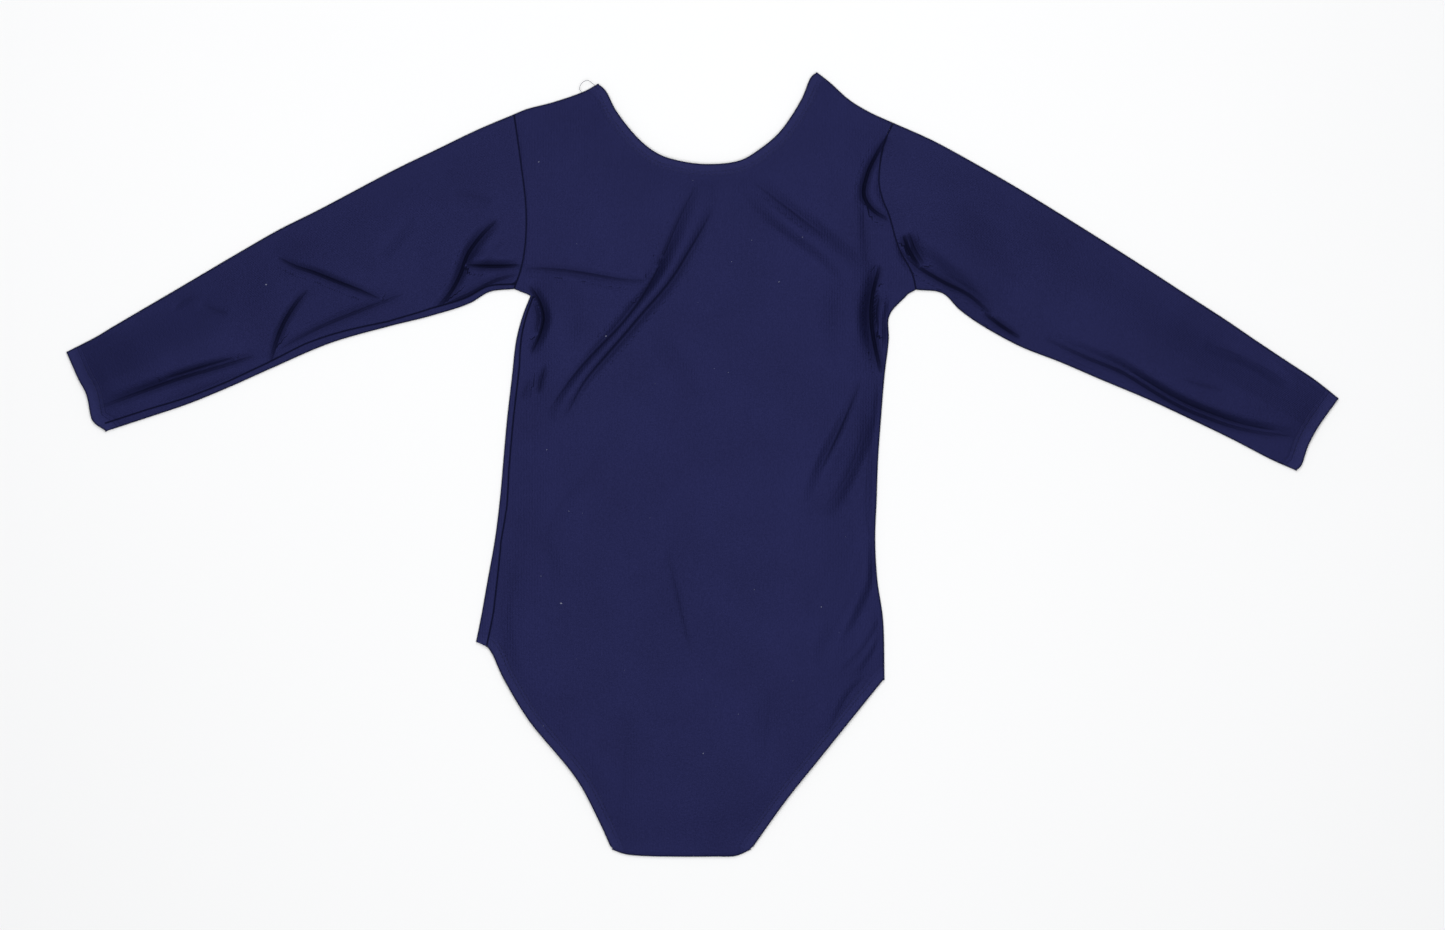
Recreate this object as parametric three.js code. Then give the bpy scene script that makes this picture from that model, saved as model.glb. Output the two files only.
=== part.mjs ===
// A child's long-sleeved leotard in thin stretch cloth, laid flat and face up.
// Four cut pieces: front panel, back panel and two sleeves, each one closed wall.
// Millimetres. +X runs across the garment, +Y towards the neck, +Z up from the table.

import * as THREE from 'three';

// Driving dimensions

const WALL = 1;
const SEAM_GAP = 0.3;
const LAYER_GAP = 0.3;

const SHOULDER_LAP = 4;
const SIDE_LAP = 5;
const CROTCH_LAP = 6;
const SLEEVE_LAP = 5;
const BACK_HEM_SETBACK = 1.5;

const BODY_LOFT = 1.3;
const LOFT_FADE = 40;
const FOLD_FADE = 6;
const HEM_FADE = 14;
const HEM_SHARE = 0.4;
const LOWEST_LOFT = 0.05;

// Heights of the middle of each layer's wall, and of the round fold between them

const FOLD_OUTER = WALL + LAYER_GAP / 2;
const FOLD_RADIUS = FOLD_OUTER - WALL / 2;
const UNDER_Z = WALL / 2;
const FOLD_Z = FOLD_OUTER;
const UPPER_Z = FOLD_Z + FOLD_RADIUS;

// How many strips of wall each stretch has

const GRID = {
  shoulder: 6, neck: 22, leg: 12, crotch: 10, side: 26, underarm: 2, armhole: 11,
  sleeveLength: 20, fold: 3,
};
const BACK_GRID = { ...GRID, neck: 10, leg: 6 };
const FADE_SAMPLES = 40;
const FOLD_SAMPLES = 18;
const BEND_DECAY = 4;

// Where the middle of the laid garment's box lies in the tables' own measure

const PLAN_CENTRE = { x: 0, y: -0.25 };

// Outline of the body, in stretches between its corners

const table = (columns, rows) =>
  rows.map((row) => Object.fromEntries(columns.map((column, index) => [column, row[index]])));

const NECK = table(['x', 'y'], [
  [-73, 266.5], [-67.5, 261], [-60.5, 247.5], [-44.5, 227.5], [-31.5, 217.5], [-19, 213],
  [2, 210], [26, 212.5], [40, 220.5], [54, 232.5], [69, 255], [76, 271], [80, 274.5],
]);

const SHOULDERS = {
  right: table(['x', 'y'], [[-132, 245], [-123.5, 248.5], [-104.5, 253.5], [-83, 261], [-73, 266.5]]),
  left: table(['x', 'y'], [[80, 274.5], [89, 267.5], [103, 255], [117, 246.5], [133.5, 239]]),
};

const ARMHOLES = {
  right: table(['x', 'y'], [
    [-132, 122.5], [-127, 137], [-124, 154.5], [-123.5, 179], [-127.5, 213.5], [-132, 245],
  ]),
  left: table(['x', 'y'], [
    [149.5, 122], [147, 133], [137.5, 151], [130.5, 174.5], [126, 185.5], [123.5, 198], [127, 224],
    [133.5, 239],
  ]),
};

// Body sections from the underarm down: the folded edges, and how far in the right side seam shows

const BODY_SECTIONS = table(['y', 'rightFold', 'seamIn', 'leftFold'], [
  [104, -126, 3, 131],
  [87, -130.5, 4.5, 130.5],
  [61.5, -133.5, 4.5, 127.5],
  [31, -137, 4.5, 125],
  [3, -139.5, 4.5, 123],
  [-25, -142, 5.5, 122],
  [-53, -145.5, 4.5, 121],
  [-81, -150.5, 6.5, 122.5],
  [-109, -155.5, 8, 126.5],
]);
const UNDERARMS = {
  right: { top: { x: -132, y: 122.5 }, corner: { x: -120.5, y: 118 }, seamIn: 2 },
  left: { top: { x: 149.5, y: 122 }, corner: { x: 144, y: 119 } },
};
const LEG_CORNERS = {
  right: { x: -159, y: -126, seamIn: 8 },
  left: { x: 127.5, y: -150 },
};

const LEGS = {
  right: table(['x', 'y'], [
    [-159, -126], [-151, -128], [-139, -151], [-122, -179], [-88, -221], [-73, -249], [-63.5, -270],
  ]),
  left: table(['x', 'y'], [
    [127.5, -150], [104, -179], [81.5, -207], [59, -235], [34, -270],
  ]),
};
const CROTCH = table(['x', 'y'], [
  [-63.5, -270], [-55.5, -273], [-43, -274.5], [9.5, -275], [23.5, -274.5], [34, -270],
]);

// Sleeve sections from armhole to cuff: upper edge, lower edge, how far in the seam runs

const SLEEVE_COLUMNS = ['upperX', 'upperY', 'lowerX', 'lowerY', 'seamIn'];
const SLEEVES = {
  right: table(SLEEVE_COLUMNS, [
    [-132, 245, -132, 122.5, 3.5],
    [-158, 234, -149, 120.5, 4.5],
    [-187, 220, -163, 112.5, 5],
    [-216, 206, -191, 103.5, 3.5],
    [-269, 178, -219, 96.5, 5],
    [-297, 164, -261, 84.5, 6],
    [-321.5, 150, -303, 66.5, 4.5],
    [-369, 122, -331, 54, 4],
    [-412.5, 96.5, -359, 42.5, 4.5],
    [-425, 89, -387, 33, 5.5],
    [-445.5, 78.5, -417.5, 23, 5.5],
  ]),
  left: table(SLEEVE_COLUMNS, [
    [133.5, 239, 149.5, 122, SLEEVE_LAP],
    [160.5, 227, 168, 119.5, SLEEVE_LAP],
    [186.5, 213, 180, 108, SLEEVE_LAP],
    [223, 192, 194, 98, SLEEVE_LAP],
    [268.5, 164, 222, 82.5, SLEEVE_LAP],
    [312.5, 136, 250, 71.5, SLEEVE_LAP],
    [334, 122, 278, 59.5, SLEEVE_LAP],
    [366.5, 101, 312.5, 45, SLEEVE_LAP],
    [387, 87, 342.5, 31, SLEEVE_LAP],
    [408, 73, 371.5, 17, SLEEVE_LAP],
    [429, 59, 398.5, 3, SLEEVE_LAP],
    [445.5, 46, 415.5, -4.5, SLEEVE_LAP],
  ]),
};
const CUFFS = {
  right: table(['x', 'y'], [
    [-417.5, 23], [-424.5, 27.5], [-427.5, 31], [-431.5, 49], [-437, 59.5], [-445.5, 78.5],
  ]),
  left: table(['x', 'y'], [[415.5, -4.5], [419, -1.5], [424, 12.5], [430.5, 25], [445.5, 46]]),
};

// Folds and hollows of the upper layer. Each runs from one point through a second to a third;
// right and left are its half-widths on either hand of that way, and rise is its height.

const FOLDS = table(
  ['name', 'fromX', 'fromY', 'viaX', 'viaY', 'toX', 'toY', 'rise', 'left', 'right'],
  [
    ['chest ridge', 8, 200, -39, 120, -106, 36, 3.6, 13, 13],
    ['armhole crease', -128, 137, -84, 133, -40, 129, 1.2, 12, 11],
    ['neck band', 28, 197, 74, 163.5, 112, 119, 1.8, 14, 11],
    ['ridge beside the crescent', 112, 226, 104, 200, 108, 170, 1.1, 11, 15],
    ['underarm ridge', 109, 146, 111, 118, 107, 86, 2.4, 11, 14],
    ['side crescent ridge', -110, 128, -100, 106, -106, 82, 1.8, 14, 11],
    ['side band', 116, 64, 97, 20, 78, -34, 1.8, 12, 12],
    ['hip ridge', 124, -50, 117, -84, 104, -110, 1.1, 11, 14],
    ['leg corner ridge', 119, -110, 112, -130, 102, -150, 1.2, 10, 12],
    ['belly swell', -12, -58, -2, -98, 6, -138, 0.8, 14, 14],
    ['right cap ridge', -150, 181, -176, 148, -192, 114, 2, 11, 20],
    ['right elbow ridge', -296, 151, -268, 140, -234, 127, 1.3, 16, 11],
    ['right cross ridge', -268, 122, -283, 100, -296, 74, 1.5, 14, 10],
    ['right upper arm ridge', -196, 136, -240, 124, -286, 104, 1.2, 14, 18],
    ['right forearm ridge', -318, 90, -368, 74, -420, 56, 1.2, 13, 18],
    ['left patch ridge', 150, 172, 163, 153, 178, 134, 1.6, 16, 11],
    ['left long ridge', 232, 110, 312, 70, 412, 30, 1.6, 20, 13],
  ],
);

// Lines in plan

const at = ({ x, y }) => new THREE.Vector3(x - PLAN_CENTRE.x, y - PLAN_CENTRE.y, 0);
const curveThrough = (points) => new THREE.CatmullRomCurve3(points.map(at), false, 'centripetal');
const lerp = THREE.MathUtils.lerp;

// Points along a curve with the direction square to it on its outward side.
// start and end are lengths left off its two ends, and hand is 1 where outward is to the right.
function edge(curve, count, hand, { start = 0, end = 0 } = {}) {
  const length = curve.getLength();
  return Array.from({ length: count + 1 }, (_, index) => {
    const share = THREE.MathUtils.clamp(index / count, start / length, 1 - end / length);
    const along = curve.getTangentAt(share);
    return {
      point: curve.getPointAt(share),
      out: new THREE.Vector3(along.y, -along.x, 0).multiplyScalar(hand),
      share: index / count,
    };
  });
}

// The same points moved in from the outline, by one distance or by one for each share of its length
function moveIn(samples, distance) {
  return samples.map(({ point, out, share }) => {
    const depth = typeof distance === 'function' ? distance(share) : distance;
    return point.clone().addScaledVector(out, -depth);
  });
}

// A column of a table read at a share of its rows
function readColumn(rows, column, share) {
  const place = share * (rows.length - 1);
  const below = Math.min(Math.floor(place), rows.length - 2);
  return lerp(rows[below][column], rows[below + 1][column], place - below);
}

const sideCurves = {
  right: curveThrough([
    UNDERARMS.right.corner,
    ...BODY_SECTIONS.map(({ rightFold, y }) => ({ x: rightFold, y })),
    LEG_CORNERS.right,
  ]),
  left: curveThrough([
    UNDERARMS.left.corner,
    ...BODY_SECTIONS.map(({ leftFold, y }) => ({ x: leftFold, y })),
    LEG_CORNERS.left,
  ]),
};
const sleeveCurves = Object.fromEntries(Object.entries(SLEEVES).map(([hand, rows]) => [hand, {
  upper: curveThrough(rows.map(({ upperX, upperY }) => ({ x: upperX, y: upperY }))),
  lower: curveThrough(rows.map(({ lowerX, lowerY }) => ({ x: lowerX, y: lowerY }))),
}]));
const seamRows = [
  { seamIn: UNDERARMS.right.seamIn },
  ...BODY_SECTIONS.map(({ seamIn }) => ({ seamIn })),
  { seamIn: LEG_CORNERS.right.seamIn },
];

// Height of the upper layer

const smooth = THREE.MathUtils.smoothstep;

const segmentsOf = (curve, count) => {
  const points = curve.getSpacedPoints(count);
  return points.slice(1).map((point, index) => ({
    a: points[index], b: point, share: index / count, step: 1 / count,
  }));
};

// Nearest place on a run of segments: its distance, its side, and its share of the way
function nearest(segments, x, y) {
  let best = { distance: Infinity, side: 1, share: 0 };
  for (const { a, b, share, step } of segments) {
    const dx = b.x - a.x;
    const dy = b.y - a.y;
    const t = THREE.MathUtils.clamp(((x - a.x) * dx + (y - a.y) * dy) / (dx * dx + dy * dy), 0, 1);
    const distance = Math.hypot(x - a.x - t * dx, y - a.y - t * dy);
    if (distance < best.distance) {
      best = { distance, side: Math.sign(dx * (y - a.y) - dy * (x - a.x)) || 1, share: share + t * step };
    }
  }
  return best;
}

const foldedEdges = [
  curveThrough(SHOULDERS.right), curveThrough(SHOULDERS.left), curveThrough(CROTCH),
  sideCurves.right, sideCurves.left,
  sleeveCurves.right.upper, sleeveCurves.right.lower,
  sleeveCurves.left.upper, sleeveCurves.left.lower,
].flatMap((curve) => segmentsOf(curve, FADE_SAMPLES));
const hemmedEdges = [
  curveThrough(NECK), curveThrough(LEGS.right), curveThrough(LEGS.left),
  curveThrough(CUFFS.right), curveThrough(CUFFS.left),
].flatMap((curve) => segmentsOf(curve, FADE_SAMPLES));
const foldLines = FOLDS.map((fold) => ({
  ...fold,
  segments: segmentsOf(curveThrough([
    { x: fold.fromX, y: fold.fromY }, { x: fold.viaX, y: fold.viaY }, { x: fold.toX, y: fold.toY },
  ]), FOLD_SAMPLES),
}));

// One fold is a round hump across its line that dies away towards both ends
function foldRise({ segments, rise, left, right }, x, y) {
  const { distance, side, share } = nearest(segments, x, y);
  const across = distance / (side > 0 ? left : right);
  if (across >= 1) {
    return 0;
  }
  return rise * (1 - across ** 2) ** 2 * Math.sin(Math.PI * share) ** 0.6;
}

function upperZ(x, y) {
  const fromFold = nearest(foldedEdges, x, y).distance - FOLD_OUTER;
  const fromHem = nearest(hemmedEdges, x, y).distance;
  const loft = BODY_LOFT * smooth(fromFold, 0, LOFT_FADE);
  const folds = foldLines.reduce((sum, fold) => sum + foldRise(fold, x, y), 0);
  const held = lerp(HEM_SHARE, 1, smooth(fromHem, 0, HEM_FADE));
  return UPPER_Z + held * Math.max(LOWEST_LOFT, loft + folds * smooth(fromFold, 0, FOLD_FADE));
}

const onUpper = (point) => new THREE.Vector3(point.x, point.y, upperZ(point.x, point.y));
const onUnder = (point) => new THREE.Vector3(point.x, point.y, UNDER_Z);

// Surfaces

// Lines of points filling the field between four edge lines. Straight ways lead from bottom to top,
// and the bends of the start and end lines die away quickly into the field.
function fill(bottom, top, start, end) {
  const rows = start.length - 1;
  const columns = bottom.length - 1;
  return start.map((_, row) => {
    const v = row / rows;
    const startBend = start[row].clone().sub(start[0].clone().lerp(start[rows], v));
    const endBend = end[row].clone().sub(end[0].clone().lerp(end[rows], v));
    return bottom.map((__, column) => {
      const u = column / columns;
      const point = bottom[column].clone().lerp(top[column], v);
      point.addScaledVector(startBend, (1 - u) ** BEND_DECAY);
      return point.addScaledVector(endBend, u ** BEND_DECAY);
    });
  });
}

// Rows that carry a line round the fold to the other layer; down is true from upper to under
function roundFold(line, samples, down) {
  return Array.from({ length: GRID.fold }, (_, index) => {
    const turn = Math.PI * (index + 1) / GRID.fold;
    const height = FOLD_Z + FOLD_RADIUS * Math.cos(turn) * (down ? 1 : -1);
    return line.map((point, place) => {
      const moved = point.clone().addScaledVector(samples[place].out, FOLD_RADIUS * Math.sin(turn));
      return moved.setZ(height);
    });
  });
}

// Adds the faces between neighbouring lines of points to a sheet; flip turns them over
class Sheet {
  constructor() {
    this.points = [];
    this.index = new Map();
    this.faces = [];
  }

  place(point) {
    const key = point.toArray().map((value) => value.toFixed(4)).join(' ');
    if (!this.index.has(key)) {
      this.index.set(key, this.points.length);
      this.points.push(point);
    }
    return this.index.get(key);
  }

  add(lines, flip = false) {
    for (let row = 0; row < lines.length - 1; row += 1) {
      for (let column = 0; column < lines[row].length - 1; column += 1) {
        const face = [
          lines[row][column], lines[row][column + 1],
          lines[row + 1][column + 1], lines[row + 1][column],
        ].map((point) => this.place(point));
        this.faces.push(flip ? face.reverse() : face);
      }
    }
    return this;
  }

  // Triangles, each four-sided face cut along the way its height changes least
  triangles() {
    return this.faces.flatMap(([a, b, c, d]) => {
      const rise = (from, to) => Math.abs(this.points[from].z - this.points[to].z);
      return rise(a, c) <= rise(b, d) ? [[a, b, c], [a, c, d]] : [[a, b, d], [b, c, d]];
    });
  }

  // The closed wall: the sheet moved half a wall out, half a wall in, and joined round its free edges
  wall() {
    const triangles = this.triangles();
    const normals = this.points.map(() => new THREE.Vector3());
    for (const [a, b, c] of triangles) {
      const along = this.points[b].clone().sub(this.points[a]);
      const square = along.cross(this.points[c].clone().sub(this.points[a]));
      [a, b, c].forEach((corner) => normals[corner].add(square));
    }
    const count = this.points.length;
    const layer = (side) => this.points.map((point, place) =>
      point.clone().addScaledVector(normals[place].clone().normalize(), side * WALL / 2));
    const positions = [...layer(1), ...layer(-1)].flatMap((point) => point.toArray());
    const used = new Set(triangles.flatMap(([a, b, c]) => [`${a} ${b}`, `${b} ${c}`, `${c} ${a}`]));
    const faces = triangles.flatMap(([a, b, c]) => [[a, b, c], [a + count, c + count, b + count]]);
    for (const key of used) {
      const [a, b] = key.split(' ').map(Number);
      if (!used.has(`${b} ${a}`)) {
        faces.push([b, a, a + count], [b, a + count, b + count]);
      }
    }
    const geometry = new THREE.BufferGeometry();
    geometry.setAttribute('position', new THREE.Float32BufferAttribute(positions, 3));
    geometry.setIndex(faces.flat());
    geometry.computeVertexNormals();
    return geometry;
  }
}

// Body panels

const depthAt = (depth, share) => (typeof depth === 'function' ? depth(share) : depth);

// A leg edge that begins where a line at this depth beside the side fold meets it
function legEdge(hand, grid, depth) {
  const curve = curveThrough(LEGS[hand]);
  const start = depth / Math.abs(curve.getTangentAt(0).x);
  return edge(curve, grid.leg, hand === 'right' ? 1 : -1, { start });
}

// At both ends of an armhole the round fold runs in line with the seam, on panel and sleeve alike
function lineUp(hand, underarmSample, shoulderSample) {
  const armhole = curveThrough(ARMHOLES[hand]);
  underarmSample.out = armhole.getTangentAt(0).negate();
  shoulderSample.out = armhole.getTangentAt(1);
}

// Every stretch of a panel's outline, sampled, for a panel that ends at the given depths inside it
function panelEdges(grid, depth) {
  const byHand = (make) => ({ right: make('right', 1), left: make('left', -1) });
  const edges = {
    neck: edge(curveThrough(NECK), grid.neck, -1, { start: depth.shoulder, end: depth.shoulder }),
    crotch: edge(curveThrough(CROTCH), grid.crotch, 1),
    shoulders: byHand((hand) => edge(curveThrough(SHOULDERS[hand]), grid.shoulder, -1)),
    legs: byHand((hand) => legEdge(hand, grid, depthAt(depth[hand], 1))),
    sides: byHand((hand, out) => edge(sideCurves[hand], grid.side, out)),
    underarms: byHand((hand, out) => edge(
      new THREE.LineCurve3(at(UNDERARMS[hand].top), at(UNDERARMS[hand].corner)), grid.underarm, out,
    )),
    armholes: byHand((hand, out) => edge(curveThrough(ARMHOLES[hand]), grid.armhole, -out, {
      start: depthAt(depth[hand], 0), end: depth.shoulder,
    })),
  };
  lineUp('right', edges.underarms.right[0], edges.shoulders.right[0]);
  lineUp('left', edges.underarms.left[0], edges.shoulders.left[grid.shoulder]);
  return edges;
}

// A whole panel in plan, as rows of points from the leg openings up to the shoulders
function panelRows(grid, depth, edges) {
  const sideLine = (hand) => [
    ...moveIn(edges.sides[hand], depth[hand]).reverse(),
    ...moveIn(edges.underarms[hand], depthAt(depth[hand], 0)).slice(1, -1).reverse(),
    ...moveIn(edges.armholes[hand], SEAM_GAP / 2),
  ];
  const start = sideLine('right');
  const end = sideLine('left');
  const bottom = [
    ...moveIn(edges.legs.right, depth.hem).slice(0, -1),
    ...moveIn(edges.crotch, depth.crotch),
    ...moveIn(edges.legs.left, depth.hem).slice(0, -1).reverse(),
  ];
  const top = [
    ...moveIn(edges.shoulders.right, depth.shoulder),
    ...moveIn(edges.neck, depth.hem).slice(1, -1),
    ...moveIn(edges.shoulders.left, depth.shoulder),
  ];
  start[0] = bottom[0];
  end[0] = bottom[bottom.length - 1];
  top[0] = start[start.length - 1];
  top[top.length - 1] = end[end.length - 1];
  return fill(bottom, top, start, end);
}

// The samples beside one side of a panel, from the leg corner up to the armhole
const besideSamples = (edges, hand) =>
  [...edges.underarms[hand].slice(0, -1), ...edges.sides[hand]].reverse();

// How far in from the right side's fold its seam lies, at a share of the way down
const rightSeamIn = (share) => readColumn(seamRows, 'seamIn', share);

function frontPanel() {
  const depth = {
    right: (share) => rightSeamIn(share) + SEAM_GAP / 2,
    left: FOLD_OUTER, shoulder: FOLD_OUTER, crotch: FOLD_OUTER, hem: 0,
  };
  const edges = panelEdges(GRID, depth);
  const rows = panelRows(GRID, depth, edges).map((row) => row.map(onUpper));
  const topRow = rows[rows.length - 1];
  const turnUnder = (line, samples, lap) => [
    line,
    ...roundFold(line, samples, true),
    line.map((point, place) => onUnder(point.clone().addScaledVector(samples[place].out, -lap))),
  ];
  const besideRows = rows.slice(0, GRID.side + GRID.underarm + 1);
  return new Sheet()
    .add(rows)
    .add(turnUnder(topRow.slice(0, GRID.shoulder + 1), edges.shoulders.right, SHOULDER_LAP))
    .add(turnUnder(topRow.slice(-GRID.shoulder - 1), edges.shoulders.left, SHOULDER_LAP))
    .add(turnUnder(rows[0].slice(GRID.leg, -GRID.leg), edges.crotch, CROTCH_LAP).reverse())
    .add(turnUnder(
      besideRows.map((row) => row[row.length - 1]), besideSamples(edges, 'left'), SIDE_LAP,
    ).reverse())
    .wall();
}

function backPanel() {
  const depth = {
    right: FOLD_OUTER,
    left: FOLD_OUTER + SIDE_LAP + SEAM_GAP,
    shoulder: FOLD_OUTER + SHOULDER_LAP + SEAM_GAP,
    crotch: FOLD_OUTER + CROTCH_LAP + SEAM_GAP,
    hem: BACK_HEM_SETBACK,
  };
  const edges = panelEdges(BACK_GRID, depth);
  const rows = panelRows(BACK_GRID, depth, edges).map((row) => row.map(onUnder));
  const beside = rows.slice(0, GRID.side + GRID.underarm + 1).map((row) => row[0]);
  const samples = besideSamples(edges, 'right');
  const stripIn = (share) => rightSeamIn(share) - SEAM_GAP / 2;
  const strip = [
    ...moveIn(edges.sides.right, stripIn).reverse(),
    ...moveIn(edges.underarms.right, stripIn(0)).slice(1, -1).reverse(),
    ...moveIn(edge(curveThrough(ARMHOLES.right), 1, -1, { start: stripIn(0) }), SEAM_GAP / 2).slice(0, 1),
  ];
  [strip[0]] = moveIn(legEdge('right', BACK_GRID, stripIn(1)), 0);
  return new Sheet()
    .add(rows, true)
    .add([beside, ...roundFold(beside, samples, false), strip.map(onUpper)], true)
    .wall();
}

// A sleeve: one cloth wrapped round, its two long edges meeting at the underarm seam

function sleeve(hand, seamOnTop) {
  const out = hand === 'right' ? 1 : -1;
  const armhole = curveThrough(ARMHOLES[hand]);
  const cuff = curveThrough(CUFFS[hand]);
  const upper = edge(sleeveCurves[hand].upper, GRID.sleeveLength, out);
  const lower = edge(sleeveCurves[hand].lower, GRID.sleeveLength, -out);
  lineUp(hand, lower[0], upper[0]);
  const seamIn = (share) => readColumn(SLEEVES[hand], 'seamIn', share);

  // One layer between its lines at these depths from the lower and the upper edge, in rows along the arm
  const field = (low, high) => {
    const across = (curve, share) =>
      edge(curve, GRID.armhole, out, { start: depthAt(low, share), end: high });
    const start = moveIn(across(armhole, 0), SEAM_GAP / 2);
    const end = moveIn(across(cuff, 1), 0);
    const lowLine = moveIn(lower, low);
    const highLine = moveIn(upper, high);
    [lowLine[0], highLine[0]] = [start[0], start[GRID.armhole]];
    [lowLine[GRID.sleeveLength], highLine[GRID.sleeveLength]] = [end[0], end[GRID.armhole]];
    return fill(lowLine, highLine, start, end);
  };
  const seamShift = (side) => (share) => seamIn(share) + side * SEAM_GAP / 2;
  const onTop = field(seamOnTop ? seamShift(1) : FOLD_OUTER, FOLD_OUTER);
  const beneath = field(seamOnTop ? FOLD_OUTER : seamShift(1), FOLD_OUTER).reverse();
  const [lapLine, edgeLine] = [seamShift(-1), FOLD_OUTER].map((low) => field(low, FOLD_OUTER)[0]);
  const topRows = onTop.map((row) => row.map(onUpper));
  const overTop = [...topRows, ...roundFold(topRows[GRID.armhole], upper, true)];
  const underRows = beneath.slice(1).map((row) => row.map(onUnder));
  const roundLower = roundFold(edgeLine, lower, false);
  const rows = seamOnTop
    ? [...overTop, ...underRows, ...roundLower, lapLine.map(onUpper)]
    : [lapLine.map(onUnder), edgeLine.map(onUnder), ...roundLower.slice(0, -1), ...overTop, ...underRows];
  return new Sheet().add(rows, hand === 'right').wall();
}

// The garment

const CLOTH = { roughness: 0.5, metalness: 0 };
const PIECES = [
  { name: 'front_panel', colour: 0x24264d, geometry: frontPanel() },
  { name: 'back_panel', colour: 0x262850, geometry: backPanel() },
  { name: 'sleeve_right', colour: 0x1f2148, geometry: sleeve('right', true) },
  { name: 'sleeve_left', colour: 0x21234a, geometry: sleeve('left', false) },
];

const leotard = new THREE.Group();
for (const { name, colour, geometry } of PIECES) {
  const mesh = new THREE.Mesh(geometry, new THREE.MeshStandardMaterial({ color: colour, ...CLOTH }));
  mesh.name = name;
  leotard.add(mesh);
}

export default leotard;
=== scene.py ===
"""A child's long-sleeved leotard in navy stretch tricot, laid flat and face up.

Four cut pieces, front, back and two sleeves, are thin closed shells on the same outlines and
layers as the frame's solids, with finer folds, worked out as whole arrays on parameter grids. Hem
stitching, a loose thread, lint, a pale floor, soft lights and the camera complete it.

Plan tables are in millimetres, +X across the garment and +Y towards the neck. Meshes are in metres.
"""

import logging
from dataclasses import dataclass, field
from enum import Enum
from functools import cached_property
from typing import Callable

import bpy
import numpy as np
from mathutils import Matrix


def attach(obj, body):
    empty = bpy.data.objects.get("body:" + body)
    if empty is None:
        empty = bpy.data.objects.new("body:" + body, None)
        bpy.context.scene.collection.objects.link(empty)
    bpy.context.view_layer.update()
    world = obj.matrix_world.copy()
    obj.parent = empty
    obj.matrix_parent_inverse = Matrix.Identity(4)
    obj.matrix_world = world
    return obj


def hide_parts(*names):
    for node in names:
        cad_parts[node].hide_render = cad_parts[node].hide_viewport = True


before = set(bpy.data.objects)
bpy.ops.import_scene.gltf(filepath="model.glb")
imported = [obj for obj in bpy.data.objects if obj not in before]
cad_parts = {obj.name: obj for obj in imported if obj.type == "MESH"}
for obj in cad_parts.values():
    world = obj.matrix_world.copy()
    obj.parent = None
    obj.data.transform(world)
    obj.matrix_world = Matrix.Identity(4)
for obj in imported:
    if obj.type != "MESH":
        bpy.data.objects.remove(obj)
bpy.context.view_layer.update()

LOG = logging.getLogger("leotard")
MM = 0.001
SHARP_ANGLE = 0.9
TINY = 1e-9
JOIN_DECIMALS = 3
Point = tuple[float, float]
Array = np.ndarray


# Layers of the laid cloth

@dataclass(frozen=True)
class Layers:
    """Heights of the two layers of cloth and of the round fold between them, in millimetres."""

    wall: float = 1.0
    seam_gap: float = 0.08
    layer_gap: float = 0.3
    shoulder_lap: float = 4.0
    side_lap: float = 5.0
    crotch_lap: float = 6.0
    sleeve_lap: float = 5.0
    back_hem_setback: float = 1.5

    @property
    def fold_outer(self) -> float:
        """Outer radius of the round fold: one wall and half the gap between the layers."""
        return self.wall + self.layer_gap / 2

    @property
    def fold_radius(self) -> float:
        """Radius of the middle of the wall in the round fold."""
        return self.fold_outer - self.wall / 2

    @property
    def under_z(self) -> float:
        """Height of the middle of the under layer's wall."""
        return self.wall / 2

    @property
    def upper_z(self) -> float:
        """Lowest height of the middle of the upper layer's wall."""
        return self.fold_outer + self.fold_radius


LAYERS = Layers()
PLAN_CENTRE = np.array([0.0, -0.25])


class Hand(Enum):
    """The wearer's side, with the sign that turns a side line's own normal outwards."""

    RIGHT = 1
    LEFT = -1


# Outlines

NECK: tuple[Point, ...] = (
    (-73, 266.5), (-67.5, 261), (-60.5, 247.5), (-44.5, 227.5), (-31.5, 217.5), (-19, 213),
    (2, 210), (26, 212.5), (40, 220.5), (54, 232.5), (69, 255), (76, 271), (80, 274.5),
)
SHOULDERS: dict[Hand, tuple[Point, ...]] = {
    Hand.RIGHT: ((-132, 245), (-123.5, 248.5), (-104.5, 253.5), (-83, 261), (-73, 266.5)),
    Hand.LEFT: ((80, 274.5), (89, 267.5), (103, 255), (117, 246.5), (133.5, 239)),
}
ARMHOLES: dict[Hand, tuple[Point, ...]] = {
    Hand.RIGHT: (
        (-132, 122.5), (-127, 137), (-124, 154.5), (-123.5, 179), (-127.5, 213.5), (-132, 245),
    ),
    Hand.LEFT: (
        (149.5, 122), (147, 133), (137.5, 151), (130.5, 174.5), (126, 185.5), (123.5, 198),
        (127, 224), (133.5, 239),
    ),
}
LEGS: dict[Hand, tuple[Point, ...]] = {
    Hand.RIGHT: (
        (-159, -126), (-151, -128), (-139, -151), (-122, -179), (-88, -221), (-73, -249),
        (-63.5, -270),
    ),
    Hand.LEFT: ((127.5, -150), (104, -179), (81.5, -207), (59, -235), (34, -270)),
}
CROTCH: tuple[Point, ...] = (
    (-63.5, -270), (-55.5, -273), (-43, -274.5), (9.5, -275), (23.5, -274.5), (34, -270),
)
CUFFS: dict[Hand, tuple[Point, ...]] = {
    Hand.RIGHT: (
        (-417.5, 23), (-424.5, 27.5), (-427.5, 31), (-431.5, 49), (-437, 59.5), (-445.5, 78.5),
    ),
    Hand.LEFT: ((415.5, -4.5), (419, -1.5), (424, 12.5), (430.5, 25), (445.5, 46)),
}
UNDERARM_TOPS: dict[Hand, Point] = {Hand.RIGHT: (-132, 122.5), Hand.LEFT: (149.5, 122)}


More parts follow.
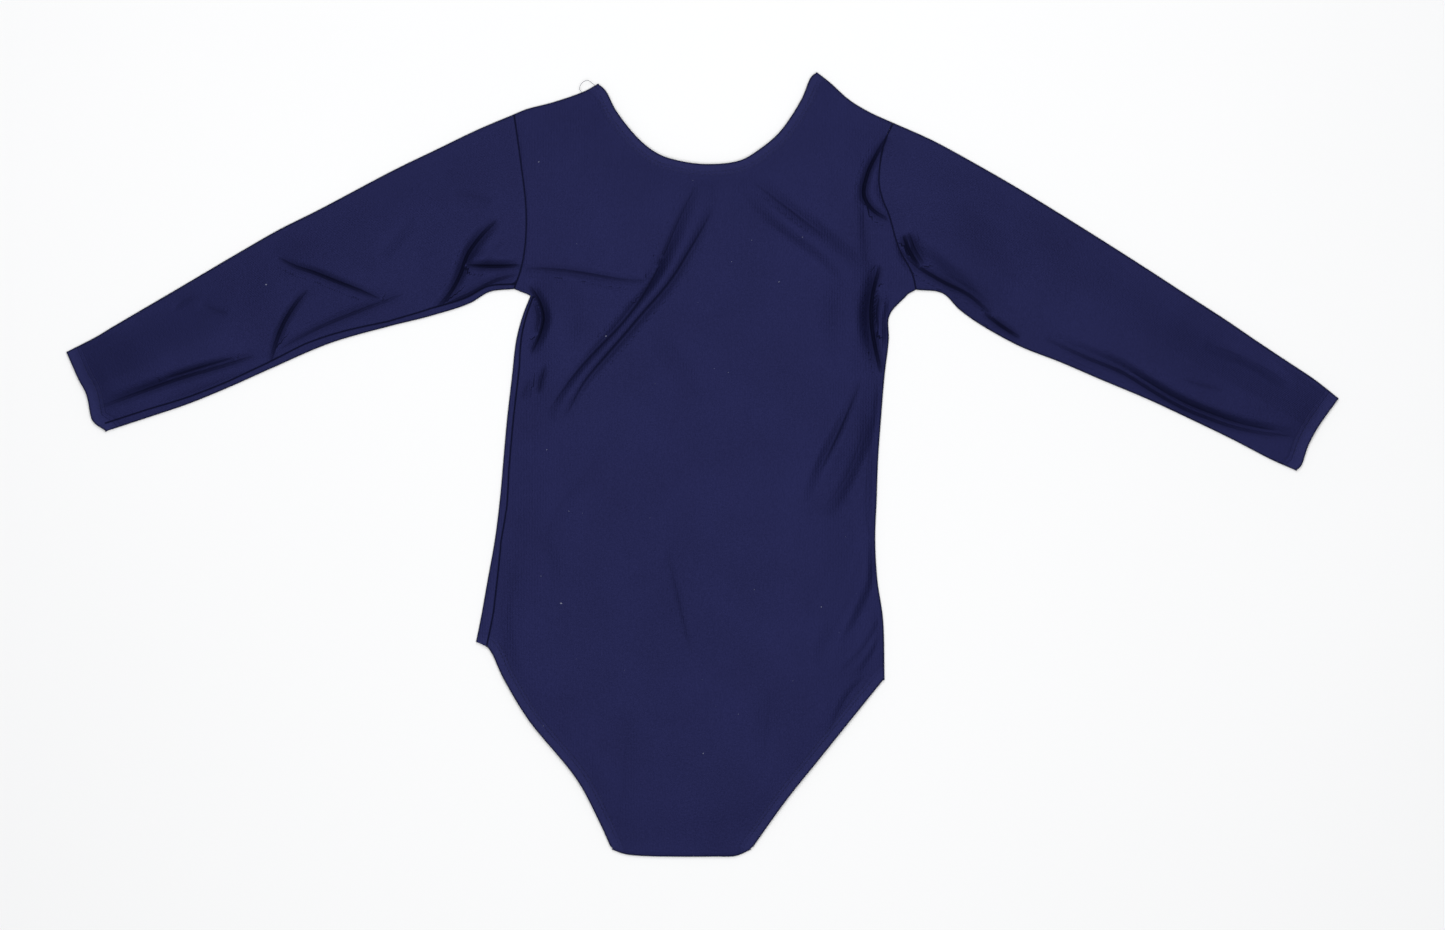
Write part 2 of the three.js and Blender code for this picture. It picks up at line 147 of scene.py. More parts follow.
@dataclass(frozen=True)
class BodySection:
    """Where the folded sides lie at one height, and how far in the wearer's right seam shows."""

    y: float
    right_fold: float
    seam_in: float
    left_fold: float


BODY_SECTIONS = (
    BodySection(118.0, -120.5, 2.0, 144.0),
    BodySection(104.0, -126.0, 3.0, 131.0),
    BodySection(87.0, -130.5, 4.5, 130.5),
    BodySection(61.5, -133.5, 4.5, 127.5),
    BodySection(31.0, -137.0, 4.5, 125.0),
    BodySection(3.0, -139.5, 4.5, 123.0),
    BodySection(-25.0, -142.0, 5.5, 122.0),
    BodySection(-53.0, -145.5, 4.5, 121.0),
    BodySection(-81.0, -150.5, 6.5, 122.5),
    BodySection(-109.0, -155.5, 8.0, 126.5),
    BodySection(-126.0, -159.0, 8.0, 127.5),
)
LEFT_UNDERARM_CORNER: Point = (144.0, 119.0)
LEFT_LEG_CORNER: Point = (127.5, -150.0)
LOOSE_THREAD: tuple[Point, ...] = (
    (-72.5, 262.0), (-76.5, 266.0), (-80.5, 268.5), (-84.5, 266.5), (-86.0, 262.5),
    (-83.5, 259.0),
)


@dataclass(frozen=True)
class SleeveSection:
    """One section of a sleeve: its upper and lower folded edges and how far in its seam runs."""

    upper: Point
    lower: Point
    seam_in: float


SLEEVE_SECTIONS: dict[Hand, tuple[SleeveSection, ...]] = {
    Hand.RIGHT: (
        SleeveSection((-132, 245), (-132, 122.5), 3.5),
        SleeveSection((-158, 234), (-149, 120.5), 4.5),
        SleeveSection((-187, 220), (-163, 112.5), 5.0),
        SleeveSection((-216, 206), (-191, 103.5), 3.5),
        SleeveSection((-269, 178), (-219, 96.5), 5.0),
        SleeveSection((-297, 164), (-261, 84.5), 6.0),
        SleeveSection((-321.5, 150), (-303, 66.5), 4.5),
        SleeveSection((-369, 122), (-331, 54), 4.0),
        SleeveSection((-412.5, 96.5), (-359, 42.5), 4.5),
        SleeveSection((-425, 89), (-387, 33), 5.5),
        SleeveSection((-445.5, 78.5), (-417.5, 23), 5.5),
    ),
    Hand.LEFT: tuple(SleeveSection(upper, lower, LAYERS.sleeve_lap) for upper, lower in (
        ((133.5, 239), (149.5, 122)), ((160.5, 227), (168, 119.5)), ((186.5, 213), (180, 108)),
        ((223, 192), (194, 98)), ((268.5, 164), (222, 82.5)), ((312.5, 136), (250, 71.5)),
        ((334, 122), (278, 59.5)), ((366.5, 101), (312.5, 45)), ((387, 87), (342.5, 31)),
        ((408, 73), (371.5, 17)), ((429, 59), (398.5, 3)), ((445.5, 46), (415.5, -4.5)),
    )),
}


# Folds

@dataclass(frozen=True)
class Fold:
    """A fold of the upper layer along a plan route.

    rise is its height, below zero for a hollow; left and right are its half-widths on either hand
    of the route; line is how deep a sharp crease runs along its middle, and how dark the shade
    painted along it is; spread is how much wider its start is than its end, as a share of its
    width. Where two creases run close together, their routes run opposite ways, so that the sign
    of the distance is the same between them.
    """

    name: str
    rise: float
    left: float
    right: float
    line: float
    route: tuple[Point, ...]
    spread: float = 0.0


CHEST_FOLDS = (
    Fold("chest ridge", 2.6, 10, 9.5, 0, (
        (3, 197), (0.5, 186), (-7, 168), (-15, 150), (-27.4, 128), (-45, 107), (-61, 88),
        (-77, 70), (-93.4, 48), (-104, 31)), spread=0.45),
    Fold("ridge left line", -0.3, 4, 4, 0.34, (
        (-5.5, 195), (-12.5, 181), (-20, 165), (-27, 148), (-35.9, 129), (-45, 113.5), (-58, 97),
        (-75, 79.5), (-91, 61.5), (-105, 42))),
    Fold("ridge right line", -0.3, 4, 4, 0.36, (
        (-95, 33), (-83, 56), (-68, 74.5), (-54, 90.5), (-40.5, 106.5), (-28.5, 120), (-18, 134),
        (-9, 149), (0, 164), (8, 179))),
    Fold("pinch at the ridge", -0.7, 7, 6, 0.12, ((-27, 146), (-36.5, 130), (-47, 117))),
    Fold("armhole crease", 0.6, 14, 3.5, 0.35, (
        (-126, 136.6), (-104.4, 136), (-80.4, 132.8), (-56.5, 128.8), (-37, 127.6))),
    Fold("shade below the crease", -0.8, 6, 12, 0, ((-92, 126), (-68, 120), (-44, 117))),
    Fold("neck band", 2.6, 15, 12, 0, ((28, 200), (35, 192), (56.5, 172), (80.5, 155), (108, 131))),
    Fold("neck thin line", -0.25, 3, 3, 0.12, (
        (34, 199), (49, 187.5), (63.3, 176.7), (73, 169), (86, 159.5))),
    Fold("ridge beside the crescent", 1.1, 10, 24, 0, (
        (120, 232), (109, 207), (104.5, 187), (108, 169), (118, 156))),
    Fold("lens beside the crescent", 0.4, 5, 5.5, 0, (
        (131, 226), (121, 204), (120, 188), (129, 174))),
    Fold("shoulder crescent", -0.5, 4, 4, 0.85, (
        (130, 230), (122, 217), (115.5, 203), (113, 188), (119, 178), (131, 170.5))),
    Fold("crescent tail", -0.6, 5, 5, 0.1, ((113, 180), (113.7, 160), (116, 140))),
    Fold("underarm ridge", 3.0, 10, 27, 0, (
        (114, 152), (109.5, 124), (107, 104), (109, 84), (116, 62))),
    Fold("underarm facet", 1.7, 5, 8, 0, ((126, 116), (127, 98), (125, 80))),
    Fold("underarm hollow", -0.8, 5, 5, 1, (
        (124.5, 139), (119.8, 122), (118, 105), (119.8, 87.7), (125, 64))),
    Fold("underarm second line", -0.3, 4, 4, 0.4, ((122.6, 94), (121.4, 106), (123.6, 121))),
    Fold("side crescent ridge", 2.6, 26, 11, 0, (
        (-118, 131), (-109, 117), (-104, 103), (-108, 88), (-116, 71))),
    Fold("side crescent", -0.8, 6, 8, 0.75, (
        (-121.5, 124.7), (-115, 115), (-111.5, 103), (-114, 91), (-120.5, 77.4))),
    Fold("side crescent second line", -0.3, 4, 4, 0.4, ((-117, 91), (-114.8, 103), (-118, 114))),
    Fold("side tick", -0.6, 4, 4, 0.3, ((-110.5, 69), (-113.5, 58.5), (-115.5, 49))),
    Fold("outer side tick", -0.4, 4, 4, 0.15, ((-122, 59.5), (-124.5, 51.5), (-127, 44))),
    Fold("middle furrow", -0.7, 9, 9, 0.05, ((-38, 96), (-26, 79), (-14, 64), (-4, 46))),
)
WAIST_FOLDS = (
    Fold("side band", 2.9, 22, 11.5, 0, (
        (121, 66), (110, 44), (100, 21), (89, 0), (79, -24), (70, -40))),
    Fold("side band line", -0.3, 4, 4, 0.2, ((112, 62), (103.5, 42), (94, 20), (83, -3))),
    Fold("second band", 0.7, 8, 10, 0.06, ((115, 34), (108, 8), (98, -14), (84, -34))),
    Fold("side swag", 0.5, 6, 14, 0.08, ((119, 20), (116, -4), (115, -30), (118, -52))),
    Fold("hip ridge", 1.4, 8, 14, 0, ((122, -44), (116, -74), (105, -100), (92, -124))),
    Fold("hip swag", -0.6, 8, 8, 0.05, ((106, -84), (97, -104), (87, -124), (80, -146))),
    Fold("leg corner ridge", 0.9, 7, 10, 0, ((122, -104), (116, -126), (104, -146))),
    Fold("leg corner", -0.6, 4, 4, 0.06, ((124, -110), (114, -128), (98, -146))),
    Fold("leg band", -0.5, 4, 4, 0.1, ((115, -148), (101.5, -163), (88, -190))),
    Fold("hip slant", -0.35, 9, 9, 0.04, ((-70, 10), (-84, -10), (-100, -30), (-113, -57))),
    Fold("hip slant below", -0.4, 8, 8, 0.04, (
        (-118, -54), (-106.5, -64), (-105, -77), (-107, -93))),
    Fold("seam hollow", -0.5, 9, 8, 0.06, (
        (-135, -75), (-141, -103), (-139.5, -122.5), (-134, -150))),
    Fold("belly line", -0.15, 3.5, 4, 0.12, ((-25, -60), (-19, -87), (-14, -109.5), (-7, -136))),
    Fold("belly swell", 0.35, 20, 20, 0, ((-12, -58), (-2, -98), (6, -138))),
    Fold("low left furrow", -0.5, 12, 10, 0.05, (
        (47, -158), (46.3, -172), (44.5, -192), (43, -212))),
    Fold("low right furrow", -0.4, 9, 9, 0.04, (
        (-51.5, -179), (-54, -205.5), (-55.5, -229), (-62, -256))),
    Fold("low cross", 0.15, 6, 7, 0, ((-109, -165), (-92.5, -161), (-73, -158))),
    Fold("low cross middle", 0.12, 8, 9, 0, (
        (-94, -178), (-62.5, -173.5), (-19, -174), (28, -176))),
)
SLEEVE_FOLDS = (
    Fold("right cap ridge", 1.2, 7.5, 36, 0, (
        (-152, 180), (-162, 164), (-171.5, 148), (-177.5, 132), (-187, 115)), spread=0.3),
    Fold("right cap inner ridge", 1, 8, 9, 0, ((-138, 166), (-149, 153), (-158, 139), (-166, 124))),
    Fold("right cap crease", -0.8, 5, 5, 0.8, (
        (-144, 171), (-154.8, 160), (-164.2, 147), (-169.8, 132), (-177.2, 119), (-188, 107)),
        spread=0.7),
    Fold("right wedge ridge", 1.1, 8, 7, 0, ((-170, 142), (-150, 143), (-129, 144))),
    Fold("right wedge", -0.7, 6, 7, 0.8, ((-166, 138.8), (-147, 138.4), (-128, 138.8))),
    Fold("right lower wedge", -0.5, 5, 4, 0.5, (
        (-130, 133), (-146, 128), (-163, 119), (-186, 109))),
    Fold("right elbow ridge", 0.9, 18, 7, 0, ((-300, 150), (-272, 141), (-238, 126))),
    Fold("right elbow crease", -0.4, 4, 5, 0.6, (
        (-298, 144.5), (-286, 138.6), (-272, 134), (-259.4, 129), (-240.7, 121.6), (-226, 115))),
    Fold("right cross ridge", 0.8, 7, 30, 0, ((-282, 125), (-294, 108), (-302, 92), (-309, 74))),
    Fold("right elbow cross", -0.5, 4, 5, 0.6, (
        (-277, 122), (-285, 112), (-293, 99), (-298, 87), (-303, 71))),
    Fold("right upper arm ridge", 0.8, 18, 22, 0, ((-196, 136), (-240, 124), (-288, 104))),
    Fold("right long valley", -0.5, 6, 6, 0.35, (
        (-211, 118), (-240.7, 107), (-270.5, 94.7), (-298, 80))),
    Fold("right cuff ridge", 1.9, 9.5, 42, 0, (
        (-300, 86), (-330, 79), (-360, 71), (-390, 61), (-424, 50), (-446, 42))),
    Fold("right cuff valley", -0.5, 5, 5, 0.5, (
        (-313, 75.5), (-338, 68), (-364, 60.5), (-394, 50), (-424, 39))),
    Fold("right cuff second line", -0.3, 4, 4, 0.3, ((-376, 59.5), (-352, 67), (-328, 74))),
    Fold("right lower valley", -0.4, 5, 5, 0.12, (
        (-381, 43.5), (-360, 50), (-338, 58.5), (-312, 68))),
    Fold("right top wrinkle", -0.4, 4, 4, 0.12, ((-370, 109), (-364, 114), (-357, 118))),
    Fold("right inner wrinkle", -0.4, 4, 4, 0.12, ((-352, 112), (-343, 108.5), (-333, 105.5))),
    Fold("right upper arm", -0.5, 8, 8, 0.04, ((-228, 145), (-215.5, 157.5), (-203, 171))),
    Fold("right cap soft", -0.5, 6, 6, 0.08, ((-176, 190.5), (-163, 188), (-149, 183))),
    Fold("left patch ridge", 2.6, 40, 13, 0, (
        (144, 178), (157, 160), (172, 146), (192, 131), (216, 114))),
    Fold("left patch", -1.1, 10, 10, 0.9, ((141, 160), (145, 149), (152, 138))),
    Fold("left patch second line", -0.3, 4, 4, 0.5, (
        (154.8, 139.8), (148.2, 150.4), (144, 161.5))),
    Fold("left underarm line", -0.8, 7, 7, 0.65, (
        (139, 150), (150, 139), (167.7, 128), (187, 118), (203, 104))),
    Fold("left underarm notch", -0.5, 5, 5, 0.65, ((197, 106), (209, 97), (223, 88))),
    Fold("left long ridge", 2.4, 46, 11.5, 0, (
        (236, 104), (262, 91), (290, 79.5), (318, 62), (340, 50), (362, 41), (388, 34), (424, 26),
        (448, 18))),
    Fold("left long hollow", -0.9, 9, 9, 0.5, (
        (240, 88), (268.9, 74.5), (294.3, 64), (312.3, 53), (334, 40.5), (355.7, 31.5),
        (377.4, 24.5), (416, 18))),
    Fold("left long second line", -0.3, 4, 4, 0.34, (
        (402, 23), (378.4, 27.4), (357, 34.6), (335.6, 43.5), (314, 55.8), (298, 65.6))),
    Fold("left thin line", -0.12, 3, 3, 0.12, ((338, 59), (352, 55), (366, 52))),
    Fold("left top line", -0.6, 8, 8, 0.08, ((352, 85), (384.5, 73), (412, 56))),
)
FOLDS = CHEST_FOLDS + WAIST_FOLDS + SLEEVE_FOLDS

# Shallow folds of the under layer, seen only from beneath
UNDER_FOLDS = (
    Fold("back chest fold", 1.4, 10, 10, 0.2, ((20, 180), (-20, 120), (-90, 60))),
    Fold("back waist fold", 1.2, 9, 9, 0.2, ((96, 70), (60, 20), (20, -6))),
    Fold("back hip fold", 1.1, 10, 8, 0.15, ((-110, -20), (-70, -52), (-30, -64))),
    Fold("back seat swell", 1.0, 16, 16, 0.0, ((60, -90), (20, -130), (4, -190))),
    Fold("back shoulder fold", 1.1, 8, 8, 0.15, ((98, 214), (92, 176), (104, 142))),
    Fold("back right fold", 1.2, 8, 8, 0.15, ((-108, 190), (-84, 160), (-60, 110))),
    Fold("under right elbow", 1.2, 8, 8, 0.15, ((-300, 134), (-280, 112), (-236, 104))),
    Fold("under right forearm", 0.9, 10, 10, 0.1, ((-410, 62), (-370, 72), (-320, 92))),
    Fold("under right arm", 1.1, 9, 9, 0.15, ((-150, 200), (-176, 168), (-186, 132))),
    Fold("under left elbow", 1.2, 8, 8, 0.15, ((240, 158), (266, 120), (268, 92))),
    Fold("under left forearm", 0.9, 10, 10, 0.1, ((404, 36), (366, 58), (316, 84))),
    Fold("under left arm", 1.1, 9, 9, 0.15, ((152, 200), (166, 164), (188, 134))),
)


# Plan curves

@dataclass(frozen=True)
class Edge:
    """Samples of a plan curve: points, unit directions out of the cloth, shares of its length."""

    points: Array
    outs: Array
    shares: Array

    def moved_in(self, distance: float | Array) -> Array:
        """The points moved against their outward directions by one distance or one each."""
        return self.points - self.outs * np.broadcast_to(distance, self.shares.shape)[:, None]

    def flipped(self) -> "Edge":
        """The same samples in the other order."""
        return Edge(self.points[::-1], self.outs[::-1], self.shares[::-1])

    def without_last(self) -> "Edge":
        """All samples but the last."""
        return Edge(self.points[:-1], self.outs[:-1], self.shares[:-1])


def joined(*edges: Edge) -> Edge:
    """Several edges as one.

    Args:
        edges: edges that follow on from each other.

    Returns:
        An edge with all their samples in order.
    """
    return Edge(*(np.concatenate([getattr(edge, name) for edge in edges])
                  for name in ("points", "outs", "shares")))


@dataclass(frozen=True)
class PlanCurve:
    """A smooth line through knots in plan: a centripetal Catmull-Rom curve, read by length."""

    knots: tuple[Point, ...]
    steps: int = 40

    @cached_property
    def dense(self) -> Array:
        """Closely spaced points.

        Between two knots the curve is the cubic whose end tangents are the usual non-uniform ones,
        with the square root of each chord as its parameter step. The end knots are mirrored.

        Returns:
            The points, from the first knot to the last.
        """
        knots = np.asarray(self.knots, float) - PLAN_CENTRE
        padded = np.vstack([2 * knots[0] - knots[1], knots, 2 * knots[-1] - knots[-2]])
        p0, p1, p2, p3 = padded[:-3], padded[1:-2], padded[2:-1], padded[3:]
        s0, s1, s2 = (np.sqrt(np.linalg.norm(b - a, axis=1))[:, None]
                      for a, b in ((p0, p1), (p1, p2), (p2, p3)))
        start = s1 * ((p1 - p0) / s0 - (p2 - p0) / (s0 + s1) + (p2 - p1) / s1)
        end = s1 * ((p2 - p1) / s1 - (p3 - p1) / (s1 + s2) + (p3 - p2) / s2)
        t = np.linspace(0, 1, self.steps, endpoint=False)[None, :, None]
        cubic = (p1[:, None] + start[:, None] * t
                 + (3 * (p2 - p1) - 2 * start - end)[:, None] * t ** 2
                 + (2 * (p1 - p2) + start + end)[:, None] * t ** 3)
        return np.vstack([cubic.reshape(-1, 2), knots[-1]])

    @cached_property
    def lengths(self) -> Array:
        """Length along the curve up to each dense point."""
        steps = np.linalg.norm(np.diff(self.dense, axis=0), axis=1)
        return np.concatenate([[0.0], np.cumsum(steps)])

    @property
    def length(self) -> float:
        """Whole length."""
        return float(self.lengths[-1])

    def at(self, shares: Array) -> Array:
        """Points at shares of the length."""
        place = np.asarray(shares) * self.length
        return np.stack([np.interp(place, self.lengths, self.dense[:, k]) for k in (0, 1)], axis=-1)

    def along(self, shares: Array) -> Array:
        """Unit directions of travel.

        Args:
            shares: places, as shares of the length.

        Returns:
            One direction for each place.
        """
        slopes = np.gradient(self.dense, self.lengths, axis=0)
        place = np.asarray(shares) * self.length
        way = np.stack([np.interp(place, self.lengths, slopes[:, k]) for k in (0, 1)], axis=-1)
        return way / np.linalg.norm(way, axis=-1, keepdims=True)

    def edge(self, count: int, hand: int, start: float = 0.0, end: float = 0.0) -> Edge:
        """Samples with outward directions.

        Args:
            count: how many strips the curve is cut into.
            hand: 1 where outward is to the right of travel, else -1.
            start: length left off the start.
            end: length left off the end.

        Returns:
            The edge's samples.
        """
        shares = np.linspace(0, 1, count + 1)
        kept = np.linspace(start / self.length, 1 - end / self.length, count + 1)
        way = self.along(kept)
        outs = np.stack([way[:, 1], -way[:, 0]], axis=1) * hand
        return Edge(self.at(kept), outs, shares)

    def polyline(self, count: int) -> Array:
        """Evenly spaced points for measuring distances."""
        return self.at(np.linspace(0, 1, count + 1))


def nearest(line: Array, points: Array, chunk: int = 4000) -> tuple[Array, Array, Array]:
    """Nearest place on a polyline: the foot of the perpendicular on each segment, the closest kept.

    Args:
        line: the polyline's points.
        points: the points to measure from.
        chunk: how many points are measured at once.

    Returns:
        Distances, sides (1 to the left of travel, else -1) and shares along the line.
    """
    starts, ways = line[:-1], np.diff(line, axis=0)
    squares = np.maximum((ways ** 2).sum(1), TINY)
    found = []
    for first in range(0, len(points), chunk):
        rel = points[first:first + chunk, None] - starts
        t = np.clip((rel * ways).sum(-1) / squares, 0, 1)
        off = rel - t[..., None] * ways
        gaps = (off ** 2).sum(-1)
        best = gaps.argmin(1)
        rows = np.arange(len(best))
        cross = ways[best, 0] * rel[rows, best, 1] - ways[best, 1] * rel[rows, best, 0]
        found.append((np.sqrt(gaps[rows, best]), np.where(cross < 0, -1.0, 1.0),
                      (best + t[rows, best]) / len(starts)))
    return tuple(np.concatenate(values) for values in zip(*found))


def smooth(value: Array, low: float, high: float) -> Array:
    """Smoothstep: 3t^2 - 2t^3 of the place t of a value between low and high."""
    t = np.clip((value - low) / (high - low), 0, 1)
    return t * t * (3 - 2 * t)


def curves(table: dict[Hand, tuple[Point, ...]]) -> dict[Hand, PlanCurve]:
    """A curve through each hand's knots."""
    return {hand: PlanCurve(knots) for hand, knots in table.items()}


@dataclass(frozen=True)
class Outline:
    """All curves of the laid garment's outline and seams."""

    edge_steps: int = 60

    @cached_property
    def neck(self) -> PlanCurve:
        """The scoop of the neck, from the wearer's right shoulder to the left."""
        return PlanCurve(NECK)

    @cached_property
    def crotch(self) -> PlanCurve:
        """The folded end between the legs."""
        return PlanCurve(CROTCH)

    @cached_property
    def shoulders(self) -> dict[Hand, PlanCurve]:
        """Shoulder folds."""
        return curves(SHOULDERS)

    @cached_property
    def armholes(self) -> dict[Hand, PlanCurve]:
        """Armhole seams, from the underarm up."""
        return curves(ARMHOLES)

    @cached_property
    def legs(self) -> dict[Hand, PlanCurve]:
        """Leg openings, from the side down."""
        return curves(LEGS)

    @cached_property
    def cuffs(self) -> dict[Hand, PlanCurve]:
        """Cuff edges, from the lower side up."""
        return curves(CUFFS)

    @cached_property
    def sides(self) -> dict[Hand, PlanCurve]:
        """Folded sides of the body.

        Returns:
            Each side's curve, from the underarm down.
        """
        left = [(row.left_fold, row.y) for row in BODY_SECTIONS[1:-1]]
        return curves({
            Hand.RIGHT: tuple((row.right_fold, row.y) for row in BODY_SECTIONS),
            Hand.LEFT: (LEFT_UNDERARM_CORNER, *left, LEFT_LEG_CORNER),
        })

    @cached_property
    def underarms(self) -> dict[Hand, PlanCurve]:
        """Short straight ends of the armhole seams."""
        return curves({hand: (top, self._corner(hand)) for hand, top in UNDERARM_TOPS.items()})

    @cached_property
    def sleeve_upper(self) -> dict[Hand, PlanCurve]:
        """Upper folded edges of the sleeves."""
        return curves({hand: tuple(row.upper for row in rows)
                       for hand, rows in SLEEVE_SECTIONS.items()})

    @cached_property
    def sleeve_lower(self) -> dict[Hand, PlanCurve]:
        """Lower folded edges of the sleeves."""
        return curves({hand: tuple(row.lower for row in rows)
                       for hand, rows in SLEEVE_SECTIONS.items()})

    @staticmethod
    def _corner(hand: Hand) -> Point:
        """Where the underarm meets the side's fold."""
        first = BODY_SECTIONS[0]
        return (first.right_fold, first.y) if hand is Hand.RIGHT else LEFT_UNDERARM_CORNER

    @property
    def folded(self) -> list[PlanCurve]:
        """Every edge that is a fold of the cloth."""
        return [*self.shoulders.values(), self.crotch, *self.sides.values(),
                *self.sleeve_upper.values(), *self.sleeve_lower.values()]

    @property
    def hemmed(self) -> list[PlanCurve]:
        """Every edge that is hemmed."""
        return [self.neck, *self.legs.values(), *self.cuffs.values()]

    def distance(self, curves: list[PlanCurve], points: Array) -> Array:
        """Distance from plan points to the nearest of several curves."""
        return np.min([nearest(curve.polyline(self.edge_steps), points)[0] for curve in curves],
                      axis=0)

    def inside(self, curve: PlanCurve, hand: int, depth: Array | float) -> Array:
        """A line beside a curve, inside it by one depth or one for each of its steps."""
        return curve.edge(self.edge_steps, hand).moved_in(depth)

    def seams(self, on_top: bool) -> list[Array]:
        """Seam lines that show on one layer.

        Args:
            on_top: whether it is the upper layer.

        Returns:
            The lines' points in plan.
        """
        lines = [curve.polyline(self.edge_steps) for curve in self.armholes.values()]
        shares = np.linspace(0, 1, self.edge_steps + 1)
        outer = LAYERS.fold_outer
        if on_top:
            return lines + [
                self.inside(self.sides[Hand.RIGHT], 1, seam_in(BODY_SECTIONS, shares)),
                self.inside(self.sleeve_lower[Hand.RIGHT], -1,
                            seam_in(SLEEVE_SECTIONS[Hand.RIGHT], shares))]
        return lines + [
            self.inside(self.sides[Hand.LEFT], -1, outer + LAYERS.side_lap),
            self.inside(self.crotch, 1, outer + LAYERS.crotch_lap),
            *(self.inside(curve, -1, outer + LAYERS.shoulder_lap)
              for curve in self.shoulders.values()),
            self.inside(self.sleeve_lower[Hand.LEFT], 1,
                        seam_in(SLEEVE_SECTIONS[Hand.LEFT], shares))]

    def from_seam(self, points: Array) -> Array:
        """Distance to the nearest seam line of a point's own layer.

        Args:
            points: points in space.

        Returns:
            One distance in plan for each point.
        """
        def least(on_top: bool) -> Array:
            """Distance to the nearest seam line of one layer."""
            return np.min([nearest(line, points[:, :2])[0] for line in self.seams(on_top)], axis=0)
        return np.where(points[:, 2] > LAYERS.fold_outer, least(True), least(False))


OUTLINE = Outline()


def seam_in(rows: tuple, shares: Array) -> Array:
    """How far in a seam lies from its fold, read from a table's rows at shares of its length."""
    return np.interp(shares, np.linspace(0, 1, len(rows)), [row.seam_in for row in rows])


def at_fold(shares: Array) -> Array:
    """The depth at which an edge's round fold begins, the same at every share of its length."""
    return np.full(np.shape(shares), LAYERS.fold_outer)


# Relief of the two layers

